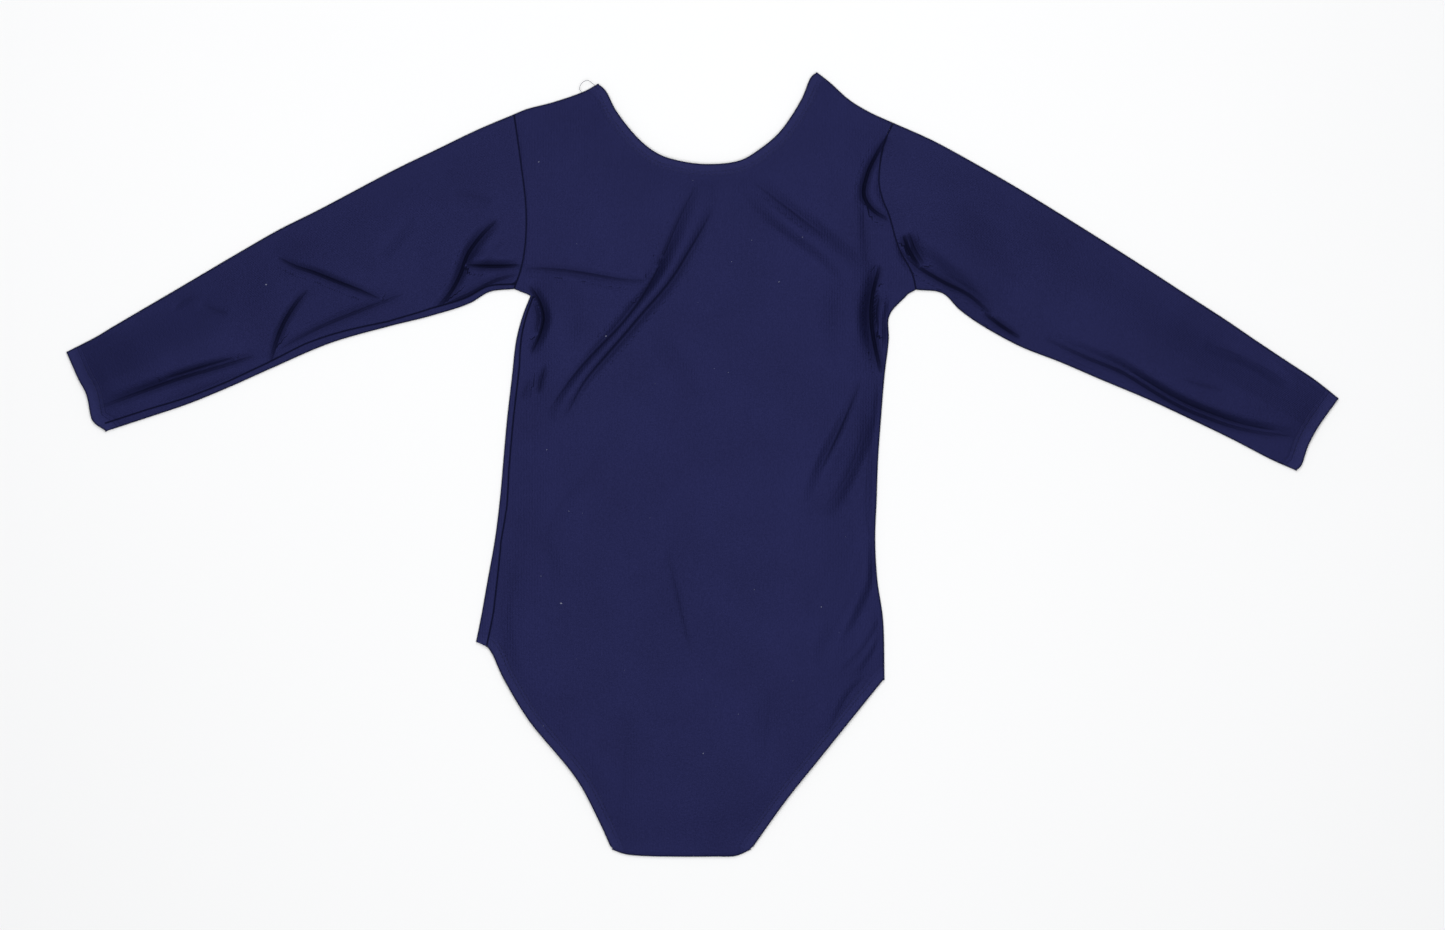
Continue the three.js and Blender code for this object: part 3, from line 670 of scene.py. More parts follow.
@dataclass(frozen=True)
class Relief:
    """Heights of the cloth's layers over the plan, in millimetres.

    The upper layer lies at its lowest height plus a loft that grows from the folded edges, plus
    every fold, each a round hump across its route that dies away towards both ends. Near a hem it
    is held down. Armhole seams sink a little, with small uneven puckers beside them.

    Creases are measured out to line_reach. Their depth dies away at the ends by the power blunt,
    and a fold's height by a power that grows with its width, from blunt through 1 at a half-width
    of slow_width to slowest.
    """

    loft: float = 1.3
    loft_fade: float = 40.0
    fold_fade: float = 6.0
    hem_fade: float = 20.0
    hem_share: float = 0.6
    lowest_loft: float = 0.05
    route_steps: int = 28
    line_reach: float = 6.5
    blunt: float = 0.6
    slowest: float = 1.4
    slow_width: float = 18.0
    seam_dip: float = 0.2
    seam_width: float = 2.0
    dip_share: float = 0.8
    pucker: float = 0.1
    pucker_pitch: float = 7.0
    pucker_start: float = 2.5
    pucker_width: float = 9.0
    pucker_drift: float = 0.23
    drift_rate: float = 5.1
    under_share: float = 0.6

    def fold_field(self, folds: tuple[Fold, ...], points: Array) -> tuple[Array, Array, Array]:
        """Sum of the folds and the nearest sharp crease.

        A fold's height is its rise times (1 - (d / w)^2)^2 times sin(pi s)^e, with d the distance
        from its route, w the half-width on that hand, s the share of the way along and e higher for
        a wider fold, so that a broad swell dies away slowly.

        Args:
            folds: the folds.
            points: plan points.

        Returns:
            Heights, signed distances to the nearest crease line, and that line's depth there.
        """
        height = np.zeros(len(points))
        offset = np.full(len(points), self.line_reach)
        depth = np.zeros(len(points))
        for fold in folds:
            line = PlanCurve(fold.route).polyline(self.route_steps)
            reach = max(fold.left, fold.right) * (1 + fold.spread / 2) + self.line_reach
            near = np.all((points > line.min(0) - reach) & (points < line.max(0) + reach), axis=1)
            if not near.any():
                continue
            distance, side, share = nearest(line, points[near])
            width = np.where(side > 0, fold.left, fold.right) * (1 + fold.spread * (0.5 - share))
            slow = np.clip(max(fold.left, fold.right) / self.slow_width, self.blunt, self.slowest)
            arc = np.sin(np.pi * share)
            across = np.clip(distance / width, 0, 1)
            height[near] += fold.rise * (1 - across ** 2) ** 2 * arc ** slow
            if fold.line > 0:
                spots = np.flatnonzero(near)
                closer = distance < np.abs(offset[spots])
                spots = spots[closer]
                fade = smooth(distance, self.line_reach, self.line_reach / 2)
                offset[spots] = (distance * side)[closer]
                depth[spots] = (fold.line * arc ** self.blunt * fade)[closer]
        return height, offset, depth

    def upper(self, points: Array) -> tuple[Array, Array, Array]:
        """The upper layer over plan points.

        Args:
            points: plan points.

        Returns:
            Height of the middle of its wall, and the crease offset and depth there.
        """
        from_fold = OUTLINE.distance(OUTLINE.folded, points) - LAYERS.fold_outer
        from_hem = OUTLINE.distance(OUTLINE.hemmed, points)
        folds, offset, depth = self.fold_field(FOLDS, points)
        loft = self.loft * smooth(from_fold, 0, self.loft_fade)
        held = self.hem_share + (1 - self.hem_share) * smooth(from_hem, 0, self.hem_fade)
        raised = loft + folds * smooth(from_fold, 0, self.fold_fade)
        lifted = held * np.maximum(self.lowest_loft, raised) + self.seam_relief(points, raised)
        return LAYERS.upper_z + np.maximum(lifted, self.lowest_loft * self.hem_share), offset, depth

    def seam_relief(self, points: Array, raised: Array) -> Array:
        """Dip at the armhole seams, kept within the loft there, with ripples beside it.

        The ripples are a sine along the seam whose phase drifts to and fro.

        Args:
            points: plan points.
            raised: loft and folds at those points.

        Returns:
            What the seams add to the height.
        """
        total = np.zeros(len(points))
        for hand in Hand:
            line = OUTLINE.armholes[hand].polyline(OUTLINE.edge_steps)
            distance, _, share = nearest(line, points)
            phase = share * OUTLINE.armholes[hand].length / self.pucker_pitch
            drift = self.pucker_drift * np.sin(self.drift_rate * phase)
            ripple = np.sin(2 * np.pi * (phase + drift))
            beside = (smooth(distance, self.pucker_width, 0)
                      * smooth(distance, 0, self.pucker_start))
            dip = np.minimum(self.seam_dip * smooth(distance, self.seam_width, 0),
                             self.dip_share * np.maximum(raised, 0))
            total += self.pucker * ripple * beside - dip
        return total

    def under(self, points: Array) -> tuple[Array, Array, Array]:
        """The under layer over plan points: its folds lift within the room above it.

        Args:
            points: plan points.

        Returns:
            Height of the middle of its wall, and the crease offset and depth there.
        """
        folds, offset, depth = self.fold_field(UNDER_FOLDS, points)
        room = self.under_share * (self.upper(points)[0] - LAYERS.upper_z)
        return LAYERS.under_z + np.clip(folds, 0, np.maximum(room, 0)), offset, depth


RELIEF = Relief()


# Sheets of cloth

@dataclass
class Patch:
    """A grid of cloth: points (rows, columns, 3), its own grain coordinates and surface values."""

    points: Array
    grain: Array
    offset: Array
    depth: Array
    flip: bool = False


def on_layer(plan: Array, layer: Callable[[Array], tuple[Array, Array, Array]]) -> Patch:
    """Lays a plan grid on a layer.

    Args:
        plan: plan points, (rows, columns, 2).
        layer: gives the heights, crease offsets and crease depths of plan points.

    Returns:
        The grid with heights, and plan positions as its grain.
    """
    shape = plan.shape[:-1]
    height, offset, depth = layer(plan.reshape(-1, 2))
    points = np.concatenate([plan, height.reshape(*shape, 1)], axis=-1)
    return Patch(points, plan.copy(), offset.reshape(shape), depth.reshape(shape))


def fill(bottom: Array, top: Array, start: Array, end: Array, decay: int = 5) -> Array:
    """The field between four edges: straight ways from bottom to top, plus the sides' bends.

    A side's bend, its distance from the straight line between its corners, dies away into the field
    by a power of the way across, so that it can't turn the grid over.

    Args:
        bottom: points along the first row.
        top: points along the last row.
        start: points along the first column.
        end: points along the last column.
        decay: the power.

    Returns:
        A grid of plan points, (rows, columns, 2).
    """
    u = np.linspace(0, 1, len(bottom))[None, :, None]
    v = np.linspace(0, 1, len(start))[:, None, None]
    start_bend = start[:, None] - (1 - v) * start[0] - v * start[-1]
    end_bend = end[:, None] - (1 - v) * end[0] - v * end[-1]
    return (1 - v) * bottom + v * top + (1 - u) ** decay * start_bend + u ** decay * end_bend


def round_fold(line: Array, outs: Array, strips: int, down: bool) -> Array:
    """Rows that carry a line round the fold to the other layer.

    Half a circle of the fold's radius: out by sin(a) and up or down by cos(a), a from 0 to pi.

    Args:
        line: the points where the fold begins, (count, 3).
        outs: plan directions out of the cloth.
        strips: how many strips the half circle has.
        down: whether it goes from the upper layer to the under one.

    Returns:
        Rows of points, (strips, count, 3), without the line itself.
    """
    turn = (np.pi * np.arange(1, strips + 1) / strips)[:, None]
    plan = line[None, :, :2] + outs[None] * (LAYERS.fold_radius * np.sin(turn))[..., None]
    height = LAYERS.fold_outer + LAYERS.fold_radius * np.cos(turn) * (1 if down else -1)
    start = line[None, :, 2:] - (LAYERS.upper_z if down else LAYERS.under_z)
    settle = start * ((1 + np.cos(turn)) / 2)[..., None]
    height = np.broadcast_to(height[..., None], (*plan.shape[:-1], 1)) + settle
    return np.concatenate([plan, height], axis=-1)


@dataclass
class Sheet:
    """Patches of cloth that share edges, made into one closed wall."""

    patches: list[Patch] = field(default_factory=list)

    def add(self, patch: Patch, flip: bool = False) -> "Sheet":
        """Adds a patch.

        Args:
            patch: the patch.
            flip: whether its face is turned over.

        Returns:
            The sheet itself.
        """
        patch.flip = flip
        self.patches.append(patch)
        return self

    def add_rows(self, rows: list[Array], flip: bool = False) -> "Sheet":
        """Adds a patch that carries no creases.

        Args:
            rows: its rows of points.
            flip: whether its face is turned over.

        Returns:
            The sheet itself.
        """
        points = np.stack(rows)
        blank = np.zeros(points.shape[:-1])
        patch = Patch(points, points[..., :2].copy(), blank + RELIEF.line_reach, blank)
        return self.add(patch, flip)

    def wall(self, name: str) -> bpy.types.Object:
        """The closed wall as an object.

        Equal points are joined, each point's normal is the sum of its faces' normals, and the sheet
        is moved half a wall out and half a wall in, with faces round its free edges.

        Args:
            name: the object's name.

        Returns:
            The object, with its grain as UV map and its surface values as point attributes.
        """
        faces, count = [], 0
        for patch in self.patches:
            rows, columns = patch.points.shape[:2]
            index = count + np.arange(rows * columns).reshape(rows, columns)
            quads = np.stack([index[:-1, :-1], index[:-1, 1:], index[1:, 1:], index[1:, :-1]], -1)
            quads = quads.reshape(-1, 4)
            faces.append(quads[:, ::-1] if patch.flip else quads)
            count += rows * columns
        points = np.concatenate([patch.points.reshape(-1, 3) for patch in self.patches])
        _, first, inverse = np.unique(np.round(points, JOIN_DECIMALS), axis=0,
                                      return_index=True, return_inverse=True)
        quads = inverse.reshape(-1)[np.concatenate(faces)]
        points = points[first]
        normals = self._normals(points, quads)
        half = LAYERS.wall / 2
        number = len(points)
        solid = np.concatenate([points + half * normals, points - half * normals])
        rim = self._rim(quads, number)
        polygons = np.concatenate([quads, quads[:, ::-1] + number, rim])
        grain = self._stack("grain", 2)[first]
        # offset and depth set each crease's groove and the shade painted along it; from_hem and
        # from_seam set the hem's relief and the paler tone and shade painted along hems and seams.
        values = {key: np.tile(self._stack(key, 1)[first, 0], 2) for key in ("offset", "depth")}
        values["from_hem"] = np.tile(OUTLINE.distance(OUTLINE.hemmed, points[:, :2]), 2)
        values["from_seam"] = np.tile(OUTLINE.from_seam(points), 2)
        return make_object(name, solid, [polygons], np.tile(grain, (2, 1)), values)

    def _stack(self, key: str, width: int) -> Array:
        """One of the patches' values for every point."""
        return np.concatenate([getattr(patch, key).reshape(-1, width) for patch in self.patches])

    @staticmethod
    def _normals(points: Array, quads: Array) -> Array:
        """Unit normals of the points: the cross products of the faces' diagonals, added up.

        Args:
            points: the sheet's points.
            quads: its faces.

        Returns:
            A direction for each point.
        """
        corners = points[quads]
        square = np.cross(corners[:, 2] - corners[:, 0], corners[:, 3] - corners[:, 1])
        total = np.zeros_like(points)
        for corner in range(4):
            np.add.at(total, quads[:, corner], square)
        return total / np.maximum(np.linalg.norm(total, axis=1, keepdims=True), TINY)

    @staticmethod
    def _rim(quads: Array, number: int) -> Array:
        """Faces round the free edges: the edges that only one face uses.

        Args:
            quads: the sheet's faces.
            number: how many points one side of the wall has.

        Returns:
            Faces between the wall's two sides.
        """
        tails = quads.reshape(-1)
        heads = np.roll(quads, -1, axis=1).reshape(-1)
        keep = (tails != heads) & ~np.isin(tails * number + heads, heads * number + tails)
        tails, heads = tails[keep], heads[keep]
        return np.stack([heads, tails, tails + number, heads + number], axis=1)


def make_object(name: str, points: Array, polygons: list[Array], grain: Array | None = None,
                values: dict[str, Array] | None = None) -> bpy.types.Object:
    """A mesh object at the origin.

    Args:
        name: its name.
        points: its points in millimetres, (count, 3).
        polygons: arrays of faces, each with the same number of corners.
        grain: cloth coordinates of the points, in millimetres.
        values: point attributes by name.

    Returns:
        The smooth-shaded object, linked to the scene.
    """
    mesh = bpy.data.meshes.new(name)
    sizes = np.concatenate([np.full(len(group), group.shape[1]) for group in polygons])
    corners = np.concatenate([group.reshape(-1) for group in polygons]).astype(np.int32)
    mesh.vertices.add(len(points))
    mesh.vertices.foreach_set("co", (points * MM).astype(np.float32).reshape(-1))
    mesh.loops.add(len(corners))
    mesh.loops.foreach_set("vertex_index", corners)
    mesh.polygons.add(len(sizes))
    starts = np.concatenate([[0], np.cumsum(sizes)[:-1]])
    mesh.polygons.foreach_set("loop_start", starts.astype(np.int32))
    mesh.update(calc_edges=True)
    mesh.validate()
    mesh.shade_smooth()
    mesh.set_sharp_from_angle(angle=SHARP_ANGLE)
    if grain is not None:
        layer = mesh.uv_layers.new(name="grain")
        used = np.zeros(len(mesh.loops), np.int32)
        mesh.loops.foreach_get("vertex_index", used)
        layer.data.foreach_set("uv", (grain[used] * MM).astype(np.float32).reshape(-1))
    for key, value in (values or {}).items():
        attribute = mesh.attributes.new(key, "FLOAT", "POINT")
        attribute.data.foreach_set("value", value.astype(np.float32))
    piece = bpy.data.objects.new(name, mesh)
    bpy.context.scene.collection.objects.link(piece)
    return piece


# Body panels

@dataclass(frozen=True)
class Depths:
    """How far inside the outline a panel's main field ends, on each stretch of it."""

    right: Callable[[Array], Array]
    left: float
    shoulder: float
    crotch: float
    hem: float


@dataclass(frozen=True)
class PanelEdges:
    """Sampled stretches of the body's outline."""

    neck: Edge
    crotch: Edge
    shoulders: dict[Hand, Edge]
    legs: dict[Hand, Edge]
    sides: dict[Hand, Edge]
    underarms: dict[Hand, Edge]
    armholes: dict[Hand, Edge]


@dataclass
class BodyPanel:
    """A body panel's grid: strips of cloth along each stretch of the outline."""

    name: str
    shoulder: int
    neck: int
    leg: int
    crotch: int
    side: int = 160
    underarm: int = 6
    armhole: int = 72
    fold: int = 8

    def leg_edge(self, hand: Hand, depth: float) -> Edge:
        """A leg edge that begins where a line beside the side's fold meets it.

        Args:
            hand: which leg.
            depth: how far inside the fold the line lies.

        Returns:
            The leg edge's samples.
        """
        curve = OUTLINE.legs[hand]
        start = depth / abs(curve.along(np.array([0.0]))[0, 0])
        return curve.edge(self.leg, hand.value, start=start)

    def edges(self, depths: Depths) -> PanelEdges:
        """Every stretch of the outline.

        Args:
            depths: how far inside the outline the panel ends.

        Returns:
            The stretches' samples, with their corners squared to the armholes.
        """
        at_top = {Hand.RIGHT: float(depths.right(np.zeros(1))[0]), Hand.LEFT: depths.left}
        at_leg = {Hand.RIGHT: float(depths.right(np.ones(1))[0]), Hand.LEFT: depths.left}
        armholes = {hand: OUTLINE.armholes[hand].edge(
            self.armhole, -hand.value, start=at_top[hand], end=depths.shoulder) for hand in Hand}
        shoulders = {hand: OUTLINE.shoulders[hand].edge(self.shoulder, -1) for hand in Hand}
        underarms = {hand: OUTLINE.underarms[hand].edge(self.underarm, hand.value) for hand in Hand}
        corner = depths.shoulder + 2 * depths.hem
        for hand in Hand:
            ends = OUTLINE.armholes[hand].along(np.array([0.0, 1.0]))
            underarms[hand].outs[0] = -ends[0]
            shoulders[hand].outs[0 if hand is Hand.RIGHT else -1] = ends[1]
        return PanelEdges(
            neck=OUTLINE.neck.edge(self.neck, -1, corner, corner),
            crotch=OUTLINE.crotch.edge(self.crotch, 1),
            shoulders=shoulders,
            legs={hand: self.leg_edge(hand, at_leg[hand]) for hand in Hand},
            sides={hand: OUTLINE.sides[hand].edge(self.side, hand.value) for hand in Hand},
            underarms=underarms,
            armholes=armholes,
        )

    def field(self, depths: Depths, edges: PanelEdges) -> Array:
        """The panel in plan.

        Args:
            depths: how far inside the outline the panel ends.
            edges: the outline's stretches.

        Returns:
            Plan points in rows from the leg openings up to the shoulders.
        """
        def side_line(hand: Hand, at_side: Array | float, at_top: float) -> Array:
            """One side's line from the leg up to the shoulder.

            Args:
                hand: which side.
                at_side: how far inside the side's fold it runs.
                at_top: how far inside the underarm it runs.

            Returns:
                Its points in plan.
            """
            return np.concatenate([
                edges.sides[hand].moved_in(at_side)[::-1],
                edges.underarms[hand].moved_in(at_top)[1:-1][::-1],
                edges.armholes[hand].moved_in(LAYERS.seam_gap / 2),
            ])
        at_side = depths.right(edges.sides[Hand.RIGHT].shares)
        start = side_line(Hand.RIGHT, at_side, float(depths.right(np.zeros(1))[0]))
        end = side_line(Hand.LEFT, depths.left, depths.left)
        bottom = np.concatenate([
            edges.legs[Hand.RIGHT].moved_in(depths.hem)[:-1],
            edges.crotch.moved_in(depths.crotch),
            edges.legs[Hand.LEFT].moved_in(depths.hem)[:-1][::-1],
        ])
        top = np.concatenate([
            edges.shoulders[Hand.RIGHT].moved_in(depths.shoulder),
            edges.neck.moved_in(depths.hem)[1:-1],
            edges.shoulders[Hand.LEFT].moved_in(depths.shoulder),
        ])
        start[0], end[0] = bottom[0], bottom[-1]
        top[0], top[-1] = start[-1], end[-1]
        return fill(bottom, top, start, end)

    def beside(self, edges: PanelEdges, hand: Hand) -> Edge:
        """The samples beside one side of the panel, from the leg corner up to the armhole."""
        return joined(edges.underarms[hand].without_last(), edges.sides[hand]).flipped()


def right_seam(shares: Array) -> Array:
    """How far in from the right side's fold its seam lies, at shares of the way down."""
    return seam_in(BODY_SECTIONS, shares)


@dataclass
class FrontPanel(BodyPanel):
    """The front: it turns under at the shoulders, the wearer's left side and the crotch."""

    name: str = "front_cloth"
    shoulder: int = 38
    neck: int = 100
    leg: int = 62
    crotch: int = 52

    def turn_under(self, line: Array, edge: Edge, lap: float) -> list[Array]:
        """A line carried round the fold and back under the panel by a lap."""
        end = np.column_stack([line[:, :2] - edge.outs * lap, np.full(len(line), LAYERS.under_z)])
        return [line, *round_fold(line, edge.outs, self.fold, True), end]

    def build(self) -> bpy.types.Object:
        """The front panel: its field, and a strip turned under at every fold but the right side's.

        Returns:
            Its shell as an object.
        """
        depths = Depths(lambda share: right_seam(share) + LAYERS.seam_gap / 2, LAYERS.fold_outer,
                        LAYERS.fold_outer, LAYERS.fold_outer, 0.0)
        edges = self.edges(depths)
        main = on_layer(self.field(depths, edges), RELIEF.upper)
        rows = main.points
        beside = rows[:self.side + self.underarm + 1, -1]
        right, left = edges.shoulders[Hand.RIGHT], edges.shoulders[Hand.LEFT]
        return (
            Sheet()
            .add(main)
            .add_rows(self.turn_under(rows[-1, :self.shoulder + 1], right, LAYERS.shoulder_lap))
            .add_rows(self.turn_under(rows[-1, -self.shoulder - 1:], left, LAYERS.shoulder_lap))
            .add_rows(self.turn_under(rows[0, self.leg:-self.leg], edges.crotch,
                                      LAYERS.crotch_lap)[::-1])
            .add_rows(self.turn_under(beside, self.beside(edges, Hand.LEFT), LAYERS.side_lap)[::-1])
            .wall(self.name)
        )


@dataclass
class BackPanel(BodyPanel):
    """The back: flat beneath, wrapped up round the wearer's right side to its seam."""

    name: str = "back_cloth"
    shoulder: int = 19
    neck: int = 50
    leg: int = 31
    crotch: int = 26

    def build(self) -> bpy.types.Object:
        """The back panel: its flat field, and one strip wrapped up to the right side's seam.

        Returns:
            Its shell as an object.
        """
        inner = LAYERS.fold_outer + LAYERS.seam_gap
        depths = Depths(at_fold, inner + LAYERS.side_lap, inner + LAYERS.shoulder_lap,
                        inner + LAYERS.crotch_lap, LAYERS.back_hem_setback)
        edges = self.edges(depths)
        main = on_layer(self.field(depths, edges), RELIEF.under)
        beside = main.points[:self.side + self.underarm + 1, 0]
        samples = self.beside(edges, Hand.RIGHT)
        strip = self.strip(edges)
        upper = on_layer(strip[None], RELIEF.upper)
        return (
            Sheet()
            .add(main, True)
            .add_rows([beside, *round_fold(beside, samples.outs, self.fold, False),
                       upper.points[0]], True)
            .wall(self.name)
        )

    def strip(self, edges: PanelEdges) -> Array:
        """The plan line beside the seam where the back's wrapped strip ends.

        Args:
            edges: the outline's stretches.

        Returns:
            Plan points from the leg up to the armhole.
        """
        half_gap = LAYERS.seam_gap / 2
        side = edges.sides[Hand.RIGHT]
        at_top = float(right_seam(np.zeros(1))[0]) - half_gap
        at_leg = float(right_seam(np.ones(1))[0]) - half_gap
        armhole = OUTLINE.armholes[Hand.RIGHT].edge(1, -1, start=at_top).moved_in(half_gap)
        line = np.concatenate([
            side.moved_in(right_seam(side.shares) - half_gap)[::-1],
            edges.underarms[Hand.RIGHT].moved_in(at_top)[1:-1][::-1],
            armhole[:1],
        ])
        line[0] = self.leg_edge(Hand.RIGHT, at_leg).points[0]
        return line


# Sleeves

class SeamPlace(Enum):
    """Which layer of a laid sleeve its underarm seam runs in."""

    ON_TOP = "on top"
    BENEATH = "beneath"


@dataclass
class Sleeve:
    """A sleeve: one cloth wrapped round, its two long edges meeting at the underarm seam."""

    name: str
    hand: Hand
    seam: SeamPlace
    along: int = 200
    across_top: int = 72
    across_under: int = 30
    fold: int = 8

    def field(self, low: Callable[[Array], Array], strips: int) -> Array:
        """One layer in plan between its lines at given depths, in rows along the arm.

        Args:
            low: depth in from the lower edge at shares of its length.
            strips: how many strips the layer has across the arm.

        Returns:
            A grid of plan points from the lower edge to the upper.
        """
        hand = self.hand
        high = LAYERS.fold_outer
        armhole = OUTLINE.armholes[hand].edge(
            strips, hand.value, start=float(low(np.zeros(1))[0]), end=high)
        cuff = OUTLINE.cuffs[hand].edge(
            strips, hand.value, start=float(low(np.ones(1))[0]), end=high)
        start = armhole.moved_in(LAYERS.seam_gap / 2)
        end = cuff.points.copy()
        lower, upper = self.edges()
        low_line = lower.moved_in(low(lower.shares))
        high_line = upper.moved_in(high)
        low_line[0], high_line[0] = start[0], start[-1]
        low_line[-1], high_line[-1] = end[0], end[-1]
        return fill(low_line, high_line, start, end)

    def past_seam(self, shares: Array) -> Array:
        """Depths half a gap beyond the seam, at shares of the lower edge."""
        return seam_in(SLEEVE_SECTIONS[self.hand], shares) + LAYERS.seam_gap / 2

    def before_seam(self, shares: Array) -> Array:
        """Depths half a gap before the seam, at shares of the lower edge."""
        return seam_in(SLEEVE_SECTIONS[self.hand], shares) - LAYERS.seam_gap / 2

    def edges(self) -> tuple[Edge, Edge]:
        """The folded lower and upper edges.

        Returns:
            Both edges' samples, lined up with the armhole's ends.
        """
        lower = OUTLINE.sleeve_lower[self.hand].edge(self.along, -self.hand.value)
        upper = OUTLINE.sleeve_upper[self.hand].edge(self.along, self.hand.value)
        ends = OUTLINE.armholes[self.hand].along(np.array([0.0, 1.0]))
        lower.outs[0] = -ends[0]
        upper.outs[0] = ends[1]
        return lower, upper

    def build(self) -> bpy.types.Object:
        """The sleeve's shell.

        Rows run along the arm, wrapped from one side of the seam to the other.

        Returns:
            The shell as an object.
        """
        on_top = self.seam is SeamPlace.ON_TOP
        lower, upper = self.edges()
        over_low, under_low = (self.past_seam, at_fold) if on_top else (at_fold, self.past_seam)
        top = on_layer(self.field(over_low, self.across_top), RELIEF.upper)
        under = on_layer(self.field(under_low, self.across_under)[::-1], RELIEF.under)
        layer = RELIEF.upper if on_top else RELIEF.under
        lap = on_layer(self.field(self.before_seam, 1)[:1], layer).points
        edge_line = on_layer(self.field(at_fold, 1)[:1], RELIEF.under).points[0]
        over = round_fold(top.points[-1], upper.outs, self.fold, True)
        round_lower = round_fold(edge_line, lower.outs, self.fold, False)
        if on_top:
            parts = [top.points, over, under.points[1:], round_lower, lap]
        else:
            parts = [lap, edge_line[None], round_lower[:-1], top.points, over, under.points[1:]]
        points = np.concatenate(parts)
        first = 0 if on_top else len(lap) + 1 + len(round_lower) - 1
        offset = np.full(points.shape[:2], RELIEF.line_reach)
        depth = np.zeros(points.shape[:2])
        offset[first:first + len(top.points)] = top.offset
        depth[first:first + len(top.points)] = top.depth
        patch = Patch(points, self.grain(points), offset, depth)
        return Sheet().add(patch, self.hand is Hand.RIGHT).wall(self.name)

    @staticmethod
    def grain(points: Array) -> Array:
        """Cloth coordinates: the length round the arm, and the length along it.

        Args:
            points: the sleeve's grid.

        Returns:
            Both lengths at each point.
        """
        around = np.linalg.norm(np.diff(points, axis=0), axis=-1)
        along = np.linalg.norm(np.diff(points, axis=1), axis=-1)
        u = np.concatenate([np.zeros((1, points.shape[1])), np.cumsum(around, axis=0)])
        v = np.concatenate([[0.0], np.cumsum(along.mean(axis=0))])
        u = u - u[len(u) // 2]
        return np.stack([u, np.broadcast_to(v, u.shape)], axis=-1)


# Stitching, thread and lint

def tubes(centres: Array, radii: Array, sides: int = 6) -> tuple[Array, list[Array]]:
    """Closed tubes along many short routes at once.

    A ring of the radius stands square to the route's plan direction at every station, and each end
    is closed by one flat face.

    Args:
        centres: routes, (count, stations, 3).
        radii: radius at each station, (count, stations), (stations,) or one for all.
        sides: faces round each tube.

    Returns:
        The points and the faces.
    """
    count, stations = centres.shape[:2]
    way = np.gradient(centres, axis=1)
    way /= np.maximum(np.linalg.norm(way, axis=-1, keepdims=True), TINY)
    side = np.cross(way, np.array([0.0, 0.0, 1.0]))
    side /= np.maximum(np.linalg.norm(side, axis=-1, keepdims=True), TINY)
    up = np.cross(side, way)
    angle = 2 * np.pi * np.arange(sides) / sides
    radius = np.broadcast_to(radii, (count, stations))[..., None, None]
    ring = side[:, :, None] * np.cos(angle)[:, None] + up[:, :, None] * np.sin(angle)[:, None]
    points = centres[:, :, None] + ring * radius
    index = np.arange(count * stations * sides).reshape(count, stations, sides)
    turned = np.roll(index, -1, axis=2)
    skin = np.stack([index[:, :-1], turned[:, :-1], turned[:, 1:], index[:, 1:]], -1).reshape(-1, 4)
    ends = np.concatenate([index[:, 0, ::-1], index[:, -1]])
    return points.reshape(-1, 3), [skin[:, ::-1], ends[:, ::-1]]


